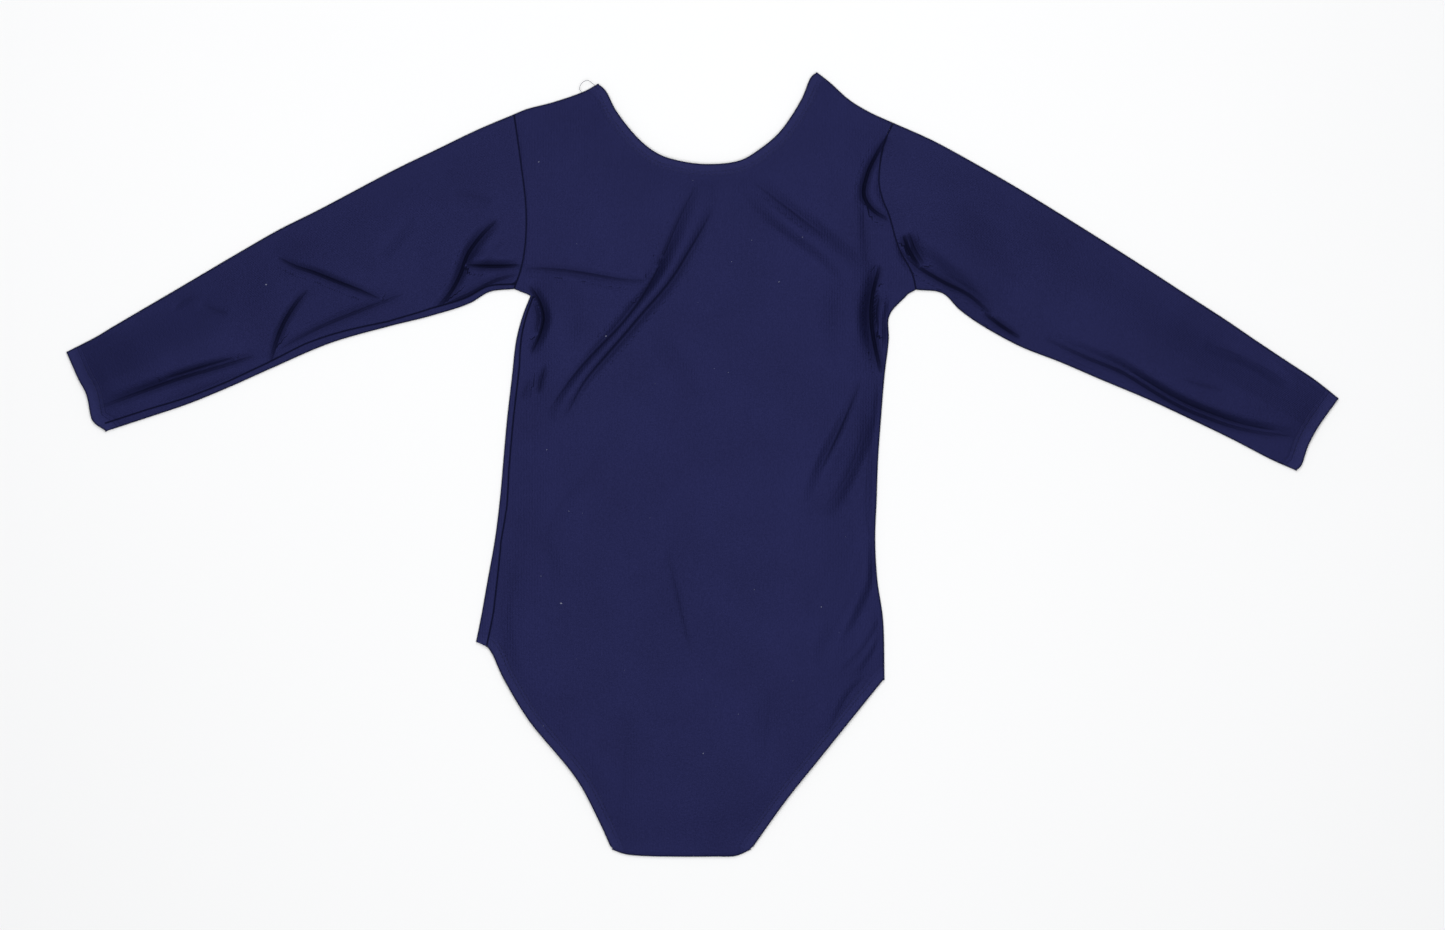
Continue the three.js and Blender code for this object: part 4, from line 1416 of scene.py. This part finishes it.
@dataclass
class HemStitching:
    """Twin rows of short stitches along hems, with the loose thread at the neck's right point.

    end_gap is what a row leaves free at a hem's corner, end_share a stitch's thickness at its ends,
    arch how high its middle stands, sunk how deep its ends lie in the cloth. The thread lies
    thread_clear over the cloth, rises by thread_rise and never comes below thread_low.
    """

    name: str = "hem_stitching"
    pitch: float = 2.6
    length: float = 2.1
    radius: float = 0.16
    stations: int = 5
    end_gap: float = 3.0
    end_share: float = 0.55
    arch: float = 0.13
    sunk: float = 0.08
    thread_radius: float = 0.14
    thread_steps: int = 40
    thread_clear: float = 0.25
    thread_rise: float = 0.8
    thread_low: float = 0.6
    rows: dict[str, tuple[float, float]] = field(default_factory=lambda: {
        "neck": (5.0, 7.2), "leg": (5.6, 7.8), "cuff": (7.6, 10.0)})

    def row(self, curve: PlanCurve, hand: int, depth: float, under: bool) -> Array:
        """One row of stitches, each a low arch, half a sine high, whose ends sink into the cloth.

        Args:
            curve: the hem's edge.
            hand: 1 where outward is to the right of travel, else -1.
            depth: how far in from the edge the row runs.
            under: whether it lies beneath the under layer.

        Returns:
            The stitches' centre lines, (count, stations, 3).
        """
        inset = depth + self.end_gap
        count = int((curve.length - 2 * inset) // self.pitch)
        starts = inset + self.pitch * np.arange(count)
        place = starts[:, None] + np.linspace(0, self.length, self.stations)
        shares = place.reshape(-1) / curve.length
        way = curve.along(shares)
        plan = curve.at(shares) - np.stack([way[:, 1], -way[:, 0]], 1) * hand * depth
        arch = np.tile(np.sin(np.pi * np.linspace(0, 1, self.stations)), count)
        skin = LAYERS.wall / 2 + self.arch * arch - self.sunk
        if under:
            height = RELIEF.under(plan)[0] - skin
            height = np.maximum(height, self.radius)
        else:
            height = RELIEF.upper(plan)[0] + skin
        return np.column_stack([plan, height]).reshape(count, self.stations, 3)

    def thread(self) -> Array:
        """Centre line of the loose thread: out of the neck hem, over the shoulder's end and down.

        Returns:
            One route, (1, stations, 3), that rises by half a sine.
        """
        plan = PlanCurve(LOOSE_THREAD).polyline(self.thread_steps)
        skin = RELIEF.upper(plan)[0] + LAYERS.wall / 2
        arch = np.sin(np.pi * np.linspace(0, 1, len(plan)))
        height = np.maximum(skin + self.thread_clear + self.thread_rise * arch, self.thread_low)
        return np.column_stack([plan, height])[None]

    def build(self) -> bpy.types.Object:
        """All stitches and the thread as one mesh.

        Returns:
            The mesh's object.
        """
        rows = []
        for under in (False, True):
            setback = LAYERS.back_hem_setback if under else 0.0
            for depth in self.rows["neck"]:
                rows.append(self.row(OUTLINE.neck, -1, depth + setback, under))
            for hand in Hand:
                rows += [self.row(OUTLINE.legs[hand], hand.value, depth + setback, under)
                         for depth in self.rows["leg"]]
                rows += [self.row(OUTLINE.cuffs[hand], -hand.value, depth, under)
                         for depth in self.rows["cuff"]]
        stitches = np.concatenate(rows)
        taper = np.array([self.end_share, *[1] * (self.stations - 2), self.end_share])
        points, faces = tubes(stitches, self.radius * taper)
        loose, loose_faces = tubes(self.thread(), np.array(self.thread_radius))
        faces += [group + len(points) for group in loose_faces]
        return make_object(self.name, np.concatenate([points, loose]), faces)


@dataclass
class Lint:
    """Specks of lint and short fibres caught on the cloth.

    specks are the place and size of those that stand out; faint more lie at random in the field
    across by along. profile is a fibre's thickness from end to end, in shares of its size.
    """

    name: str = "lint"
    seed: int = 11
    specks: tuple[tuple[float, float, float], ...] = (
        (-114.5, 211.5, 0.42), (53.5, 127.5, 0.36), (-67.5, 89.5, 0.38), (-305.5, 125.5, 0.4),
        (-99, -97.5, 0.55), (0.5, -202.5, 0.36), (83, -100, 0.3), (-109, 10, 0.28),
        (-93.5, -33, 0.24), (-113, -78.5, 0.24),
    )
    faint: int = 26
    across: tuple[float, float] = (-118.0, 112.0)
    along: tuple[float, float] = (-240.0, 200.0)
    faint_sizes: tuple[float, float] = (0.12, 0.24)
    most_bend: float = 0.9
    half_length: float = 1.5
    lift: float = 0.4
    profile: tuple[float, ...] = (0.18, 0.7, 1.0, 0.85, 0.5, 0.16)

    def build(self) -> bpy.types.Object:
        """Every speck is a short fibre with a thick middle, bent as a parabola, on the cloth.

        Returns:
            All specks as one object.
        """
        rng = np.random.default_rng(self.seed)
        extra = np.column_stack([rng.uniform(*span, self.faint)
                                 for span in (self.across, self.along, self.faint_sizes)])
        specks = np.concatenate([np.array(self.specks), extra])
        t = np.linspace(-1, 1, len(self.profile))
        turn = rng.uniform(0, np.pi, len(specks))[:, None]
        bend = rng.uniform(-self.most_bend, self.most_bend, len(specks))[:, None]
        size = specks[:, 2:]
        plan = specks[:, None, :2] - PLAN_CENTRE + self.half_length * size[..., None] * np.stack([
            t * np.cos(turn) - bend * t ** 2 * np.sin(turn),
            t * np.sin(turn) + bend * t ** 2 * np.cos(turn)], axis=-1)
        height = RELIEF.upper(plan.reshape(-1, 2))[0].reshape(plan.shape[:-1])
        lift = LAYERS.wall / 2 + self.lift * size
        centres = np.concatenate([plan, (height + lift)[..., None]], axis=-1)
        points, faces = tubes(centres, size * np.array(self.profile))
        return make_object(self.name, points, faces)


# Finishes

class Graph:
    """A node tree with short calls for the nodes that the finishes use."""

    def __init__(self, tree: bpy.types.NodeTree) -> None:
        """Keeps the tree."""
        self.tree = tree

    def add(self, kind: str, **settings: object) -> bpy.types.Node:
        """A new node.

        Args:
            kind: the node's type.
            settings: its properties by name.

        Returns:
            The node.
        """
        node = self.tree.nodes.new(kind)
        for key, value in settings.items():
            setattr(node, key, value)
        return node

    def feed(self, socket: bpy.types.NodeSocket, value: object) -> None:
        """Links a socket or sets a constant on it.

        Args:
            socket: a node's input.
            value: what it gets, another node's output or a constant.
        """
        if isinstance(value, bpy.types.NodeSocket):
            self.tree.links.new(value, socket)
        else:
            socket.default_value = value

    def feed_all(self, node: bpy.types.Node, values: dict[str, object]) -> bpy.types.Node:
        """Links or sets a node's inputs by name.

        Args:
            node: the node.
            values: sockets or constants by the input's name.

        Returns:
            The node.
        """
        for name, value in values.items():
            self.feed(node.inputs[name], value)
        return node

    def math(self, operation: str, *values: object) -> bpy.types.NodeSocket:
        """A Math node.

        Args:
            operation: its operation.
            values: sockets or constants for its inputs.

        Returns:
            Its result.
        """
        node = self.add("ShaderNodeMath", operation=operation)
        for socket, value in zip(node.inputs, values):
            self.feed(socket, value)
        return node.outputs[0]

    def ramp(self, value: object, low: float, high: float, first: float = 0.0,
             last: float = 1.0) -> bpy.types.NodeSocket:
        """A smooth step between two values.

        Args:
            value: what is read.
            low: where the step begins.
            high: where it ends.
            first: the result up to low.
            last: the result from high.

        Returns:
            The result.
        """
        node = self.add("ShaderNodeMapRange", interpolation_type="SMOOTHSTEP")
        self.feed_all(node, {"Value": value, "From Min": low, "From Max": high, "To Min": first,
                             "To Max": last})
        return node.outputs["Result"]

    def mix(self, factor: object, first: object, last: object) -> bpy.types.NodeSocket:
        """Two colours mixed.

        Args:
            factor: the share of the last colour.
            first: a socket or a colour.
            last: a socket or a colour.

        Returns:
            The mixed colour.
        """
        node = self.add("ShaderNodeMix", data_type="RGBA")
        for name, value in (("Factor", factor), ("A", first), ("B", last)):
            self.feed(node.inputs[name], (*value, 1.0) if isinstance(value, tuple) else value)
        return node.outputs["Result"]

    def noise(self, vector: object, scale: object, detail: float = 2.0) -> bpy.types.NodeSocket:
        """A Noise Texture.

        Args:
            vector: where it is read.
            scale: turns for each metre, a socket or a constant.
            detail: how many finer noises are added.

        Returns:
            Its factor.
        """
        values = {"Vector": vector, "Scale": scale, "Detail": detail}
        return self.feed_all(self.add("ShaderNodeTexNoise"), values).outputs["Fac"]

    def stretch(self, vector: object, scale: tuple[float, float, float]) -> bpy.types.NodeSocket:
        """A Mapping node.

        Args:
            vector: what it scales.
            scale: the factor along each axis.

        Returns:
            The scaled vector.
        """
        values = {"Vector": vector, "Scale": scale}
        return self.feed_all(self.add("ShaderNodeMapping"), values).outputs["Vector"]

    def place(self) -> bpy.types.NodeSocket:
        """Object coordinates."""
        return self.add("ShaderNodeTexCoord").outputs["Object"]

    def group(self, tree: bpy.types.NodeTree, **values: object) -> bpy.types.Node:
        """A group node.

        Args:
            tree: the group.
            values: sockets or constants by the input's name, with _ for a space.

        Returns:
            The node.
        """
        node = self.add("ShaderNodeGroup", node_tree=tree)
        return self.feed_all(node, {key.replace("_", " ").capitalize(): value
                                    for key, value in values.items()})


def new_group(name: str, ins: dict[str, tuple[str, object]], outs: tuple[str, ...]
              ) -> tuple[bpy.types.NodeTree, Graph, bpy.types.Node, bpy.types.Node]:
    """A shader node group with named sockets.

    Args:
        name: the group's name.
        ins: socket type and default by input name.
        outs: names of the float outputs.

    Returns:
        The tree, its graph, and its input and output nodes.
    """
    tree = bpy.data.node_groups.new(name, "ShaderNodeTree")
    for key, (kind, default) in ins.items():
        socket = tree.interface.new_socket(name=key, in_out="INPUT", socket_type=kind)
        if default is not None:
            socket.default_value = default
    for key in outs:
        tree.interface.new_socket(name=key, in_out="OUTPUT", socket_type="NodeSocketFloat")
    graph = Graph(tree)
    return tree, graph, graph.add("NodeGroupInput"), graph.add("NodeGroupOutput")


def new_material(name: str) -> tuple[bpy.types.Material, Graph, bpy.types.Node]:
    """A material to be filled.

    Args:
        name: the material's name.

    Returns:
        The material, its graph and its Principled BSDF.
    """
    made = bpy.data.materials.new(name)
    made.use_nodes = True
    return made, Graph(made.node_tree), made.node_tree.nodes["Principled BSDF"]


@dataclass(frozen=True)
class LineSizes:
    """Lines on the cloth in millimetres, and how dark the shade painted along each is, from 0 to 1.

    step is the ramp of a hem's inner edge, and foot the shadow painted beyond it, foot_out from the
    band. stitch is the half-width of a groove of stitches, and stitch_share its depth, and that of
    its painted shade, in shares of the hem's. lip, seam, crease and beside are half-widths of
    painted shade, the last of the shade round a crease. The last field is where the paler tone
    painted on a hem, partly painted light, begins to fade and ends.
    """

    step: float = 1.4
    foot: float = 1.2
    foot_out: float = 0.8
    stitch: float = 0.6
    stitch_share: float = 0.6
    lip: float = 1.6
    lip_shade: float = 0.8
    seam: float = 1.1
    seam_shade: float = 1.0
    crease: float = 1.6
    crease_shade: float = 0.75
    beside: float = 6.0
    beside_shade: float = 0.75
    # Span of the paler tone painted on a hem, partly painted light: where it begins to fade and
    # where it ends.
    pale_and_lit_hem: tuple[float, float] = (3.0, 12.0)


@dataclass(frozen=True)
class GrainSizes:
    """The cloth's grain: noises in turns for each metre.

    streak and pebble are the scale and detail of the ribs' unevenness and of the round grain,
    stretch is how much slower the streaks change along a rib, and least is the least share of a
    rib's height. fine is the scale of the finest speckle.
    """

    streak: tuple[float, float] = (420.0, 3.0)
    stretch: float = 0.06
    least: float = 0.25
    pebble: tuple[float, float] = (640.0, 1.0)
    fine: float = 900.0


LINES = LineSizes()
GRAIN = GrainSizes()


@dataclass(frozen=True)
class Effects:
    """The node groups that the cloths share."""

    ribs: bpy.types.NodeTree
    lines: bpy.types.NodeTree
    mottle: bpy.types.NodeTree

    @staticmethod
    def make() -> "Effects":
        """Builds each group once."""
        return Effects(Effects.make_ribs(), Effects.make_lines(), Effects.make_mottle())

    @staticmethod
    def make_ribs() -> bpy.types.NodeTree:
        """Fine ribs and the pebbled grain of the knit.

        The ribs are a sine across the grain times a noise drawn out along it. Another noise adds
        the pebbles.

        Returns:
            The group, whose height is in millimetres and whose streak runs from 0 to 1.
        """
        tree, g, start, end = new_group(
            "knit_ribs",
            {"Grain": ("NodeSocketVector", None), "Pitch": ("NodeSocketFloat", 0.0011),
             "Depth": ("NodeSocketFloat", 0.03), "Pebble": ("NodeSocketFloat", 0.13)},
            ("Height", "Streak"))
        grain = start.outputs["Grain"]
        parts = g.add("ShaderNodeSeparateXYZ")
        g.feed(parts.inputs[0], grain)
        turns = g.math("DIVIDE", parts.outputs["X"], start.outputs["Pitch"])
        wave = g.math("SINE", g.math("MULTIPLY", turns, 2 * np.pi))
        streak = g.noise(g.stretch(grain, (1.0, GRAIN.stretch, 1.0)), *GRAIN.streak)
        uneven = g.math("MULTIPLY", wave, g.math("ADD", streak, GRAIN.least))
        pebble = g.noise(grain, *GRAIN.pebble)
        g.feed(end.inputs["Height"],
               g.math("ADD", g.math("MULTIPLY", uneven, start.outputs["Depth"]),
                      g.math("MULTIPLY", pebble, start.outputs["Pebble"])))
        g.feed(end.inputs["Streak"], streak)
        return tree

    @staticmethod
    def make_lines() -> bpy.types.NodeTree:
        """Hem, seam and crease lines from the cloth's measured distances.

        A hem stands proud by a smooth step at its band's width and has a groove at each row of
        stitches; a shadow is painted beyond the step and shade in the grooves. A crease is a narrow
        trough with shade painted in it and wider shade painted beside it. A seam and a hem's lip
        are thin lines of painted shade.

        Returns:
            The group, with a height in millimetres, a mask of painted shade and a mask of the hem's
            painted paler tone, from 0 to 1.
        """
        tree, g, start, end = new_group(
            "hem_crease_and_painted_shade_lines",
            {"From hem": ("NodeSocketFloat", 0.0), "From seam": ("NodeSocketFloat", 9.0),
             "Offset": ("NodeSocketFloat", 9.0), "Depth": ("NodeSocketFloat", 0.0),
             "Band": ("NodeSocketFloat", 8.0), "Row": ("NodeSocketFloat", 5.5),
             "Relief": ("NodeSocketFloat", 0.1)},
            ("Height", "Shade", "Hem"))
        hem, band, relief, offset, depth = (
            start.outputs[key] for key in ("From hem", "Band", "Relief", "Offset", "Depth"))

        def groove(value: object, place: object, width: float) -> bpy.types.NodeSocket:
            """1 where a value is at a place, down to 0 at a width from it."""
            gap = g.math("ABSOLUTE", g.math("SUBTRACT", value, place))
            return g.ramp(gap, 0.0, width, 1.0, 0.0)

        step = g.ramp(g.math("SUBTRACT", hem, band), 0.0, LINES.step, 1.0, 0.0)
        foot = groove(hem, g.math("ADD", band, LINES.foot_out), LINES.foot)
        rows = g.math("ADD", groove(hem, start.outputs["Row"], LINES.stitch),
                      groove(hem, band, LINES.stitch))
        rows = g.math("MULTIPLY", rows, LINES.stitch_share)
        crease = g.math("MULTIPLY", groove(offset, 0.0, LINES.crease), depth)
        height = g.math("MULTIPLY", g.math("SUBTRACT", step, rows), relief)
        g.feed(end.inputs["Height"], g.math("SUBTRACT", height, crease))
        # Painted shade: a shadow beyond the hem's step, and shade in the stitch grooves, along hem
        # lips and seams, in creases and round them.
        shade = g.math("MULTIPLY", g.math("ADD", foot, rows), relief)
        for part, weight in (
                (groove(hem, 0.0, LINES.lip), LINES.lip_shade),
                (groove(start.outputs["From seam"], 0.0, LINES.seam), LINES.seam_shade),
                (crease, LINES.crease_shade),
                (g.math("MULTIPLY", groove(offset, 0.0, LINES.beside), depth), LINES.beside_shade)):
            shade = g.math("ADD", shade, g.math("MULTIPLY", part, weight))
        g.feed(end.inputs["Shade"], g.math("MINIMUM", shade, 1.0))
        # Mask of the paler tone painted on a hem, partly painted light.
        g.feed(end.inputs["Hem"], g.ramp(hem, *LINES.pale_and_lit_hem, 1.0, 0.0))
        return tree

    @staticmethod
    def make_mottle() -> bpy.types.NodeTree:
        """Slow uneven tone of dyed cloth and a fine speckle: two noises of different size.

        Returns:
            The group, with a tone and a speckle from 0 to 1.
        """
        tree, g, start, end = new_group(
            "dye_mottle", {"Place": ("NodeSocketVector", None), "Size": ("NodeSocketFloat", 22.0)},
            ("Tone", "Fine"))
        place = start.outputs["Place"]
        g.feed(end.inputs["Tone"], g.noise(place, start.outputs["Size"]))
        g.feed(end.inputs["Fine"], g.noise(place, GRAIN.fine))
        return tree


@dataclass(frozen=True)
class TricotFinish:
    """Satin navy nylon and elastane tricot.

    dark and light are its two tones, mixed over tone_range by the shares of mottle, streak and
    speckle in tone_shares. Its hem colour is a paler tone painted on its hems, partly the folded
    double cloth's own tone and partly painted light. shaded is the colour of the shade painted into
    its seam, hem and crease lines, which are rougher by shade_roughness. band and row are how far
    in from an edge the hem's two rows of stitches run, and relief is how proud the hem stands.
    """

    name: str
    dark: tuple[float, float, float]
    light: tuple[float, float, float]
    # Paler colour painted on the hems: partly the folded cloth's own tone, partly painted light.
    pale_and_lit_hem: tuple[float, float, float] = (0.0105, 0.0118, 0.0420)
    # Colour of the shade painted into seams, hem lips, stitch rows and creases.
    shaded: tuple[float, float, float] = (0.0010, 0.0012, 0.0050)
    tone_shares: tuple[float, float, float] = (0.5, 0.15, 0.35)
    tone_range: tuple[float, float] = (0.3, 0.7)
    hem_share: float = 0.55
    rib_pitch: float = 0.0011
    band: float = 8.0
    row: float = 5.6
    relief: float = 0.09
    smoothest: float = 0.37
    roughest: float = 0.48
    shade_roughness: float = 0.4
    specular: float = 0.3
    tint: tuple[float, float, float] = (0.265, 0.285, 1.0)

    def material(self, effects: Effects) -> bpy.types.Material:
        """The material: ribs and mottle in its tone; seam, crease and hem lines painted as shade
        into its colour, and a paler tone, partly painted light, on its hems.

        Args:
            effects: the shared node groups.

        Returns:
            The material.
        """
        made, g, shader = new_material(self.name)
        value = {key: g.add("ShaderNodeAttribute", attribute_name=key).outputs["Fac"]
                 for key in ("offset", "depth", "from_hem", "from_seam")}
        grain = g.add("ShaderNodeUVMap", uv_map="grain").outputs["UV"]
        ribs = g.group(effects.ribs, grain=grain, pitch=self.rib_pitch).outputs
        lines = g.group(effects.lines, **value, band=self.band, row=self.row,
                        relief=self.relief).outputs
        mottle = g.group(effects.mottle, place=g.place()).outputs
        slow, streaky, fine = (
            g.math("MULTIPLY", part, share) for part, share in zip(
                (mottle["Tone"], ribs["Streak"], mottle["Fine"]), self.tone_shares))
        tone = g.math("ADD", slow, g.math("ADD", streaky, fine))
        colour = g.mix(g.ramp(tone, *self.tone_range), self.dark, self.light)
        # Paler tone painted on the hem bands: partly the folded cloth's own tone, partly painted
        # light.
        colour = g.mix(g.math("MULTIPLY", lines["Hem"], self.hem_share), colour, self.pale_and_lit_hem)
        shade = lines["Shade"]
        rough = g.ramp(mottle["Fine"], *self.tone_range, self.smoothest, self.roughest)
        bump = g.feed_all(g.add("ShaderNodeBump"), {
            "Strength": 1.0, "Distance": MM,
            "Height": g.math("ADD", ribs["Height"], lines["Height"])})
        # The lines' shade is painted into the Base Color.
        g.feed_all(shader, {
            "Base Color": g.mix(shade, colour, self.shaded),
            "Roughness": g.math("ADD", rough, g.math("MULTIPLY", shade, self.shade_roughness)),
            "Normal": bump.outputs["Normal"],
            "Specular IOR Level": self.specular,
            "Specular Tint": (*self.tint, 1.0)})
        return made


@dataclass(frozen=True)
class FibreFinish:
    """Thread or lint: a plain matt fibre with a little uneven tone."""

    name: str
    dark: tuple[float, float, float]
    light: tuple[float, float, float]
    roughness: float
    specular: float = 0.12
    mottle_size: float = 260.0
    tone_range: tuple[float, float] = (0.35, 0.65)

    def material(self, effects: Effects) -> bpy.types.Material:
        """The material: two tones mixed by the mottle.

        Args:
            effects: the shared node groups.

        Returns:
            The material.
        """
        made, g, shader = new_material(self.name)
        mottle = g.group(effects.mottle, place=g.place(), size=self.mottle_size)
        tone = g.ramp(mottle.outputs["Tone"], *self.tone_range)
        g.feed_all(shader, {"Base Color": g.mix(tone, self.dark, self.light),
                            "Roughness": self.roughness, "Specular IOR Level": self.specular})
        return made


FRONT_TRICOT = TricotFinish(
    "front_tricot", dark=(0.0024, 0.0028, 0.0138), light=(0.0046, 0.0053, 0.0245))
# The back's tricot is the front's cloth painted paler: painted light on the strip wrapped up round
# the right side.
PALER_LIT_BACK_TRICOT = TricotFinish(
    "back_tricot_painted_paler", dark=(0.0050, 0.0057, 0.0250), light=(0.0066, 0.0075, 0.0315))
SLEEVE_TRICOT = TricotFinish(
    "sleeve_tricot", dark=(0.0022, 0.0026, 0.0125), light=(0.0042, 0.0049, 0.0220),
    band=10.6, row=7.8, relief=0.15, hem_share=0.8)
NAVY_THREAD = FibreFinish(
    "navy_thread", dark=(0.008, 0.009, 0.036), light=(0.016, 0.018, 0.060), roughness=0.7)
PALE_LINT = FibreFinish(
    "pale_lint", dark=(0.08, 0.09, 0.16), light=(0.22, 0.23, 0.32), roughness=0.9)


# Stage

@dataclass(frozen=True)
class SoftLight:
    """A disk light: place and size in metres, power in watts, whether it turns to the garment."""

    place: tuple[float, float, float]
    size: float
    power: float
    turned: bool


@dataclass(frozen=True)
class Stage:
    """The pale floor, the soft lights and the camera straight over the garment.

    The floor lies floor_drop millimetres under the cloth, and its tone differs by tone_spread over
    a noise of floor_mottle turns for each metre. cloth_height is where the photo's scale holds.
    """

    floor_tone: float = 0.87
    tone_spread: float = 0.01
    tone_range: tuple[float, float] = (0.3, 0.7)
    floor_mottle: float = 1.6
    floor_size: float = 14.0
    floor_drop: float = 0.1
    floor_roughness: float = 0.9
    floor_specular: float = 0.1
    world_tone: tuple[float, float, float] = (0.95, 0.97, 1.0)
    world_strength: float = 0.24
    overhead: SoftLight = SoftLight((0.0, -0.1, 2.4), 2.6, 55.0, False)
    neck_end: SoftLight = SoftLight((0.0, 1.5, 1.9), 1.2, 13.0, True)
    image_width: int = 1445
    mm_per_pixel: float = 0.70
    view_centre: tuple[float, float] = (14.0, -0.45)
    camera_height: float = 3.4
    cloth_height: float = 0.003
    sensor: float = 36.0
    clip_end: float = 20.0

    def build(self) -> None:
        """Makes the floor, world, lights and camera."""
        self.floor()
        self.world()
        self.lights()
        self.camera()

    def floor(self) -> None:
        """One pale matt plane just under the cloth, with a faint uneven tone."""
        half = self.floor_size / 2 / MM
        corners = np.array([(x * half, y * half, -self.floor_drop)
                            for x, y in ((-1, -1), (1, -1), (1, 1), (-1, 1))])
        plane = make_object("floor", corners, [np.array([[0, 1, 2, 3]])])
        made, g, shader = new_material("pale_paper")
        tone = g.ramp(g.noise(g.place(), self.floor_mottle), *self.tone_range,
                      self.floor_tone - self.tone_spread, self.floor_tone)
        grey = g.feed_all(g.add("ShaderNodeCombineColor"),
                          dict.fromkeys(("Red", "Green", "Blue"), tone))
        g.feed_all(shader, {"Base Color": grey.outputs["Color"], "Roughness": self.floor_roughness,
                            "Specular IOR Level": self.floor_specular})
        plane.data.materials.append(made)

    def world(self) -> None:
        """A dim pale surround."""
        world = bpy.data.worlds.new("surround")
        world.use_nodes = True
        back = world.node_tree.nodes["Background"]
        back.inputs["Color"].default_value = (*self.world_tone, 1.0)
        back.inputs["Strength"].default_value = self.world_strength
        bpy.context.scene.world = world
        bpy.context.scene.view_settings.view_transform = "Standard"

    def lights(self) -> None:
        """Two broad soft lights unseen by the camera: one overhead, one from beyond the neck."""
        self.soft_light("overhead_light", self.overhead)
        self.soft_light("neck_end_light", self.neck_end)

    @staticmethod
    def soft_light(name: str, lamp: SoftLight) -> None:
        """One disk light, level, or turned to face the garment's middle.

        Args:
            name: its name.
            lamp: its place, size, power and turn.
        """
        data = bpy.data.lights.new(name, "AREA")
        data.shape = "DISK"
        data.size = lamp.size
        data.energy = lamp.power
        made = bpy.data.objects.new(name, data)
        made.location = lamp.place
        if lamp.turned:
            made.rotation_euler = (-np.arctan2(lamp.place[1], lamp.place[2]), 0, 0)
        made.visible_camera = False
        bpy.context.scene.collection.objects.link(made)

    def camera(self) -> None:
        """Straight above; the lens gives the photo's scale at the cloth's height."""
        data = bpy.data.cameras.new("camera")
        data.sensor_fit = "HORIZONTAL"
        data.sensor_width = self.sensor
        span = self.image_width * self.mm_per_pixel * MM
        data.lens = self.sensor * (self.camera_height - self.cloth_height) / span
        data.clip_end = self.clip_end
        view = bpy.data.objects.new("camera", data)
        view.location = (self.view_centre[0] * MM, self.view_centre[1] * MM, self.camera_height)
        bpy.context.scene.collection.objects.link(view)
        bpy.context.scene.camera = view


# The garment

@dataclass(frozen=True)
class Cut:
    """A sheet's flat cut: width and length in metres and area in square metres."""

    width: float
    length: float
    area: float


@dataclass
class Leotard:
    """The whole garment: builds each sub-assembly, dresses it and places it in the frame."""

    slot: str = "navy_tricot"
    body: str = "root"

    def dress(self, piece: bpy.types.Object, material: bpy.types.Material) -> None:
        """Gives a piece its material and body.

        Args:
            piece: the piece's object.
            material: its material.
        """
        piece.data.materials.append(material)
        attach(piece, self.body)

    def build(self) -> None:
        """Builds everything in order."""
        effects = Effects.make()
        front = FrontPanel().build()
        back = BackPanel().build()
        right = Sleeve("sleeve_right_cloth", Hand.RIGHT, SeamPlace.ON_TOP).build()
        left = Sleeve("sleeve_left_cloth", Hand.LEFT, SeamPlace.BENEATH).build()
        cloths = {"front_panel": (front, FRONT_TRICOT), "back_panel": (back, PALER_LIT_BACK_TRICOT),
                  "sleeve_right": (right, SLEEVE_TRICOT), "sleeve_left": (left, SLEEVE_TRICOT)}
        made = {finish.name: finish.material(effects)
                for finish in (FRONT_TRICOT, PALER_LIT_BACK_TRICOT, SLEEVE_TRICOT)}
        for node, (piece, finish) in cloths.items():
            self.dress(piece, made[finish.name])
            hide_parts(node)
        stitching = HemStitching().build()
        self.dress(stitching, NAVY_THREAD.material(effects))
        lint = Lint().build()
        self.dress(lint, PALE_LINT.material(effects))
        for piece in (front, back, right, left, stitching, lint):
            LOG.info("%s: %d faces", piece.name, len(piece.data.polygons))


def main() -> None:
    """Builds the stage and the garment."""
    logging.basicConfig(level=logging.INFO, format="%(message)s")
    Stage().build()
    Leotard().build()
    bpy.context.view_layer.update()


if __name__ == "__main__":
    main()
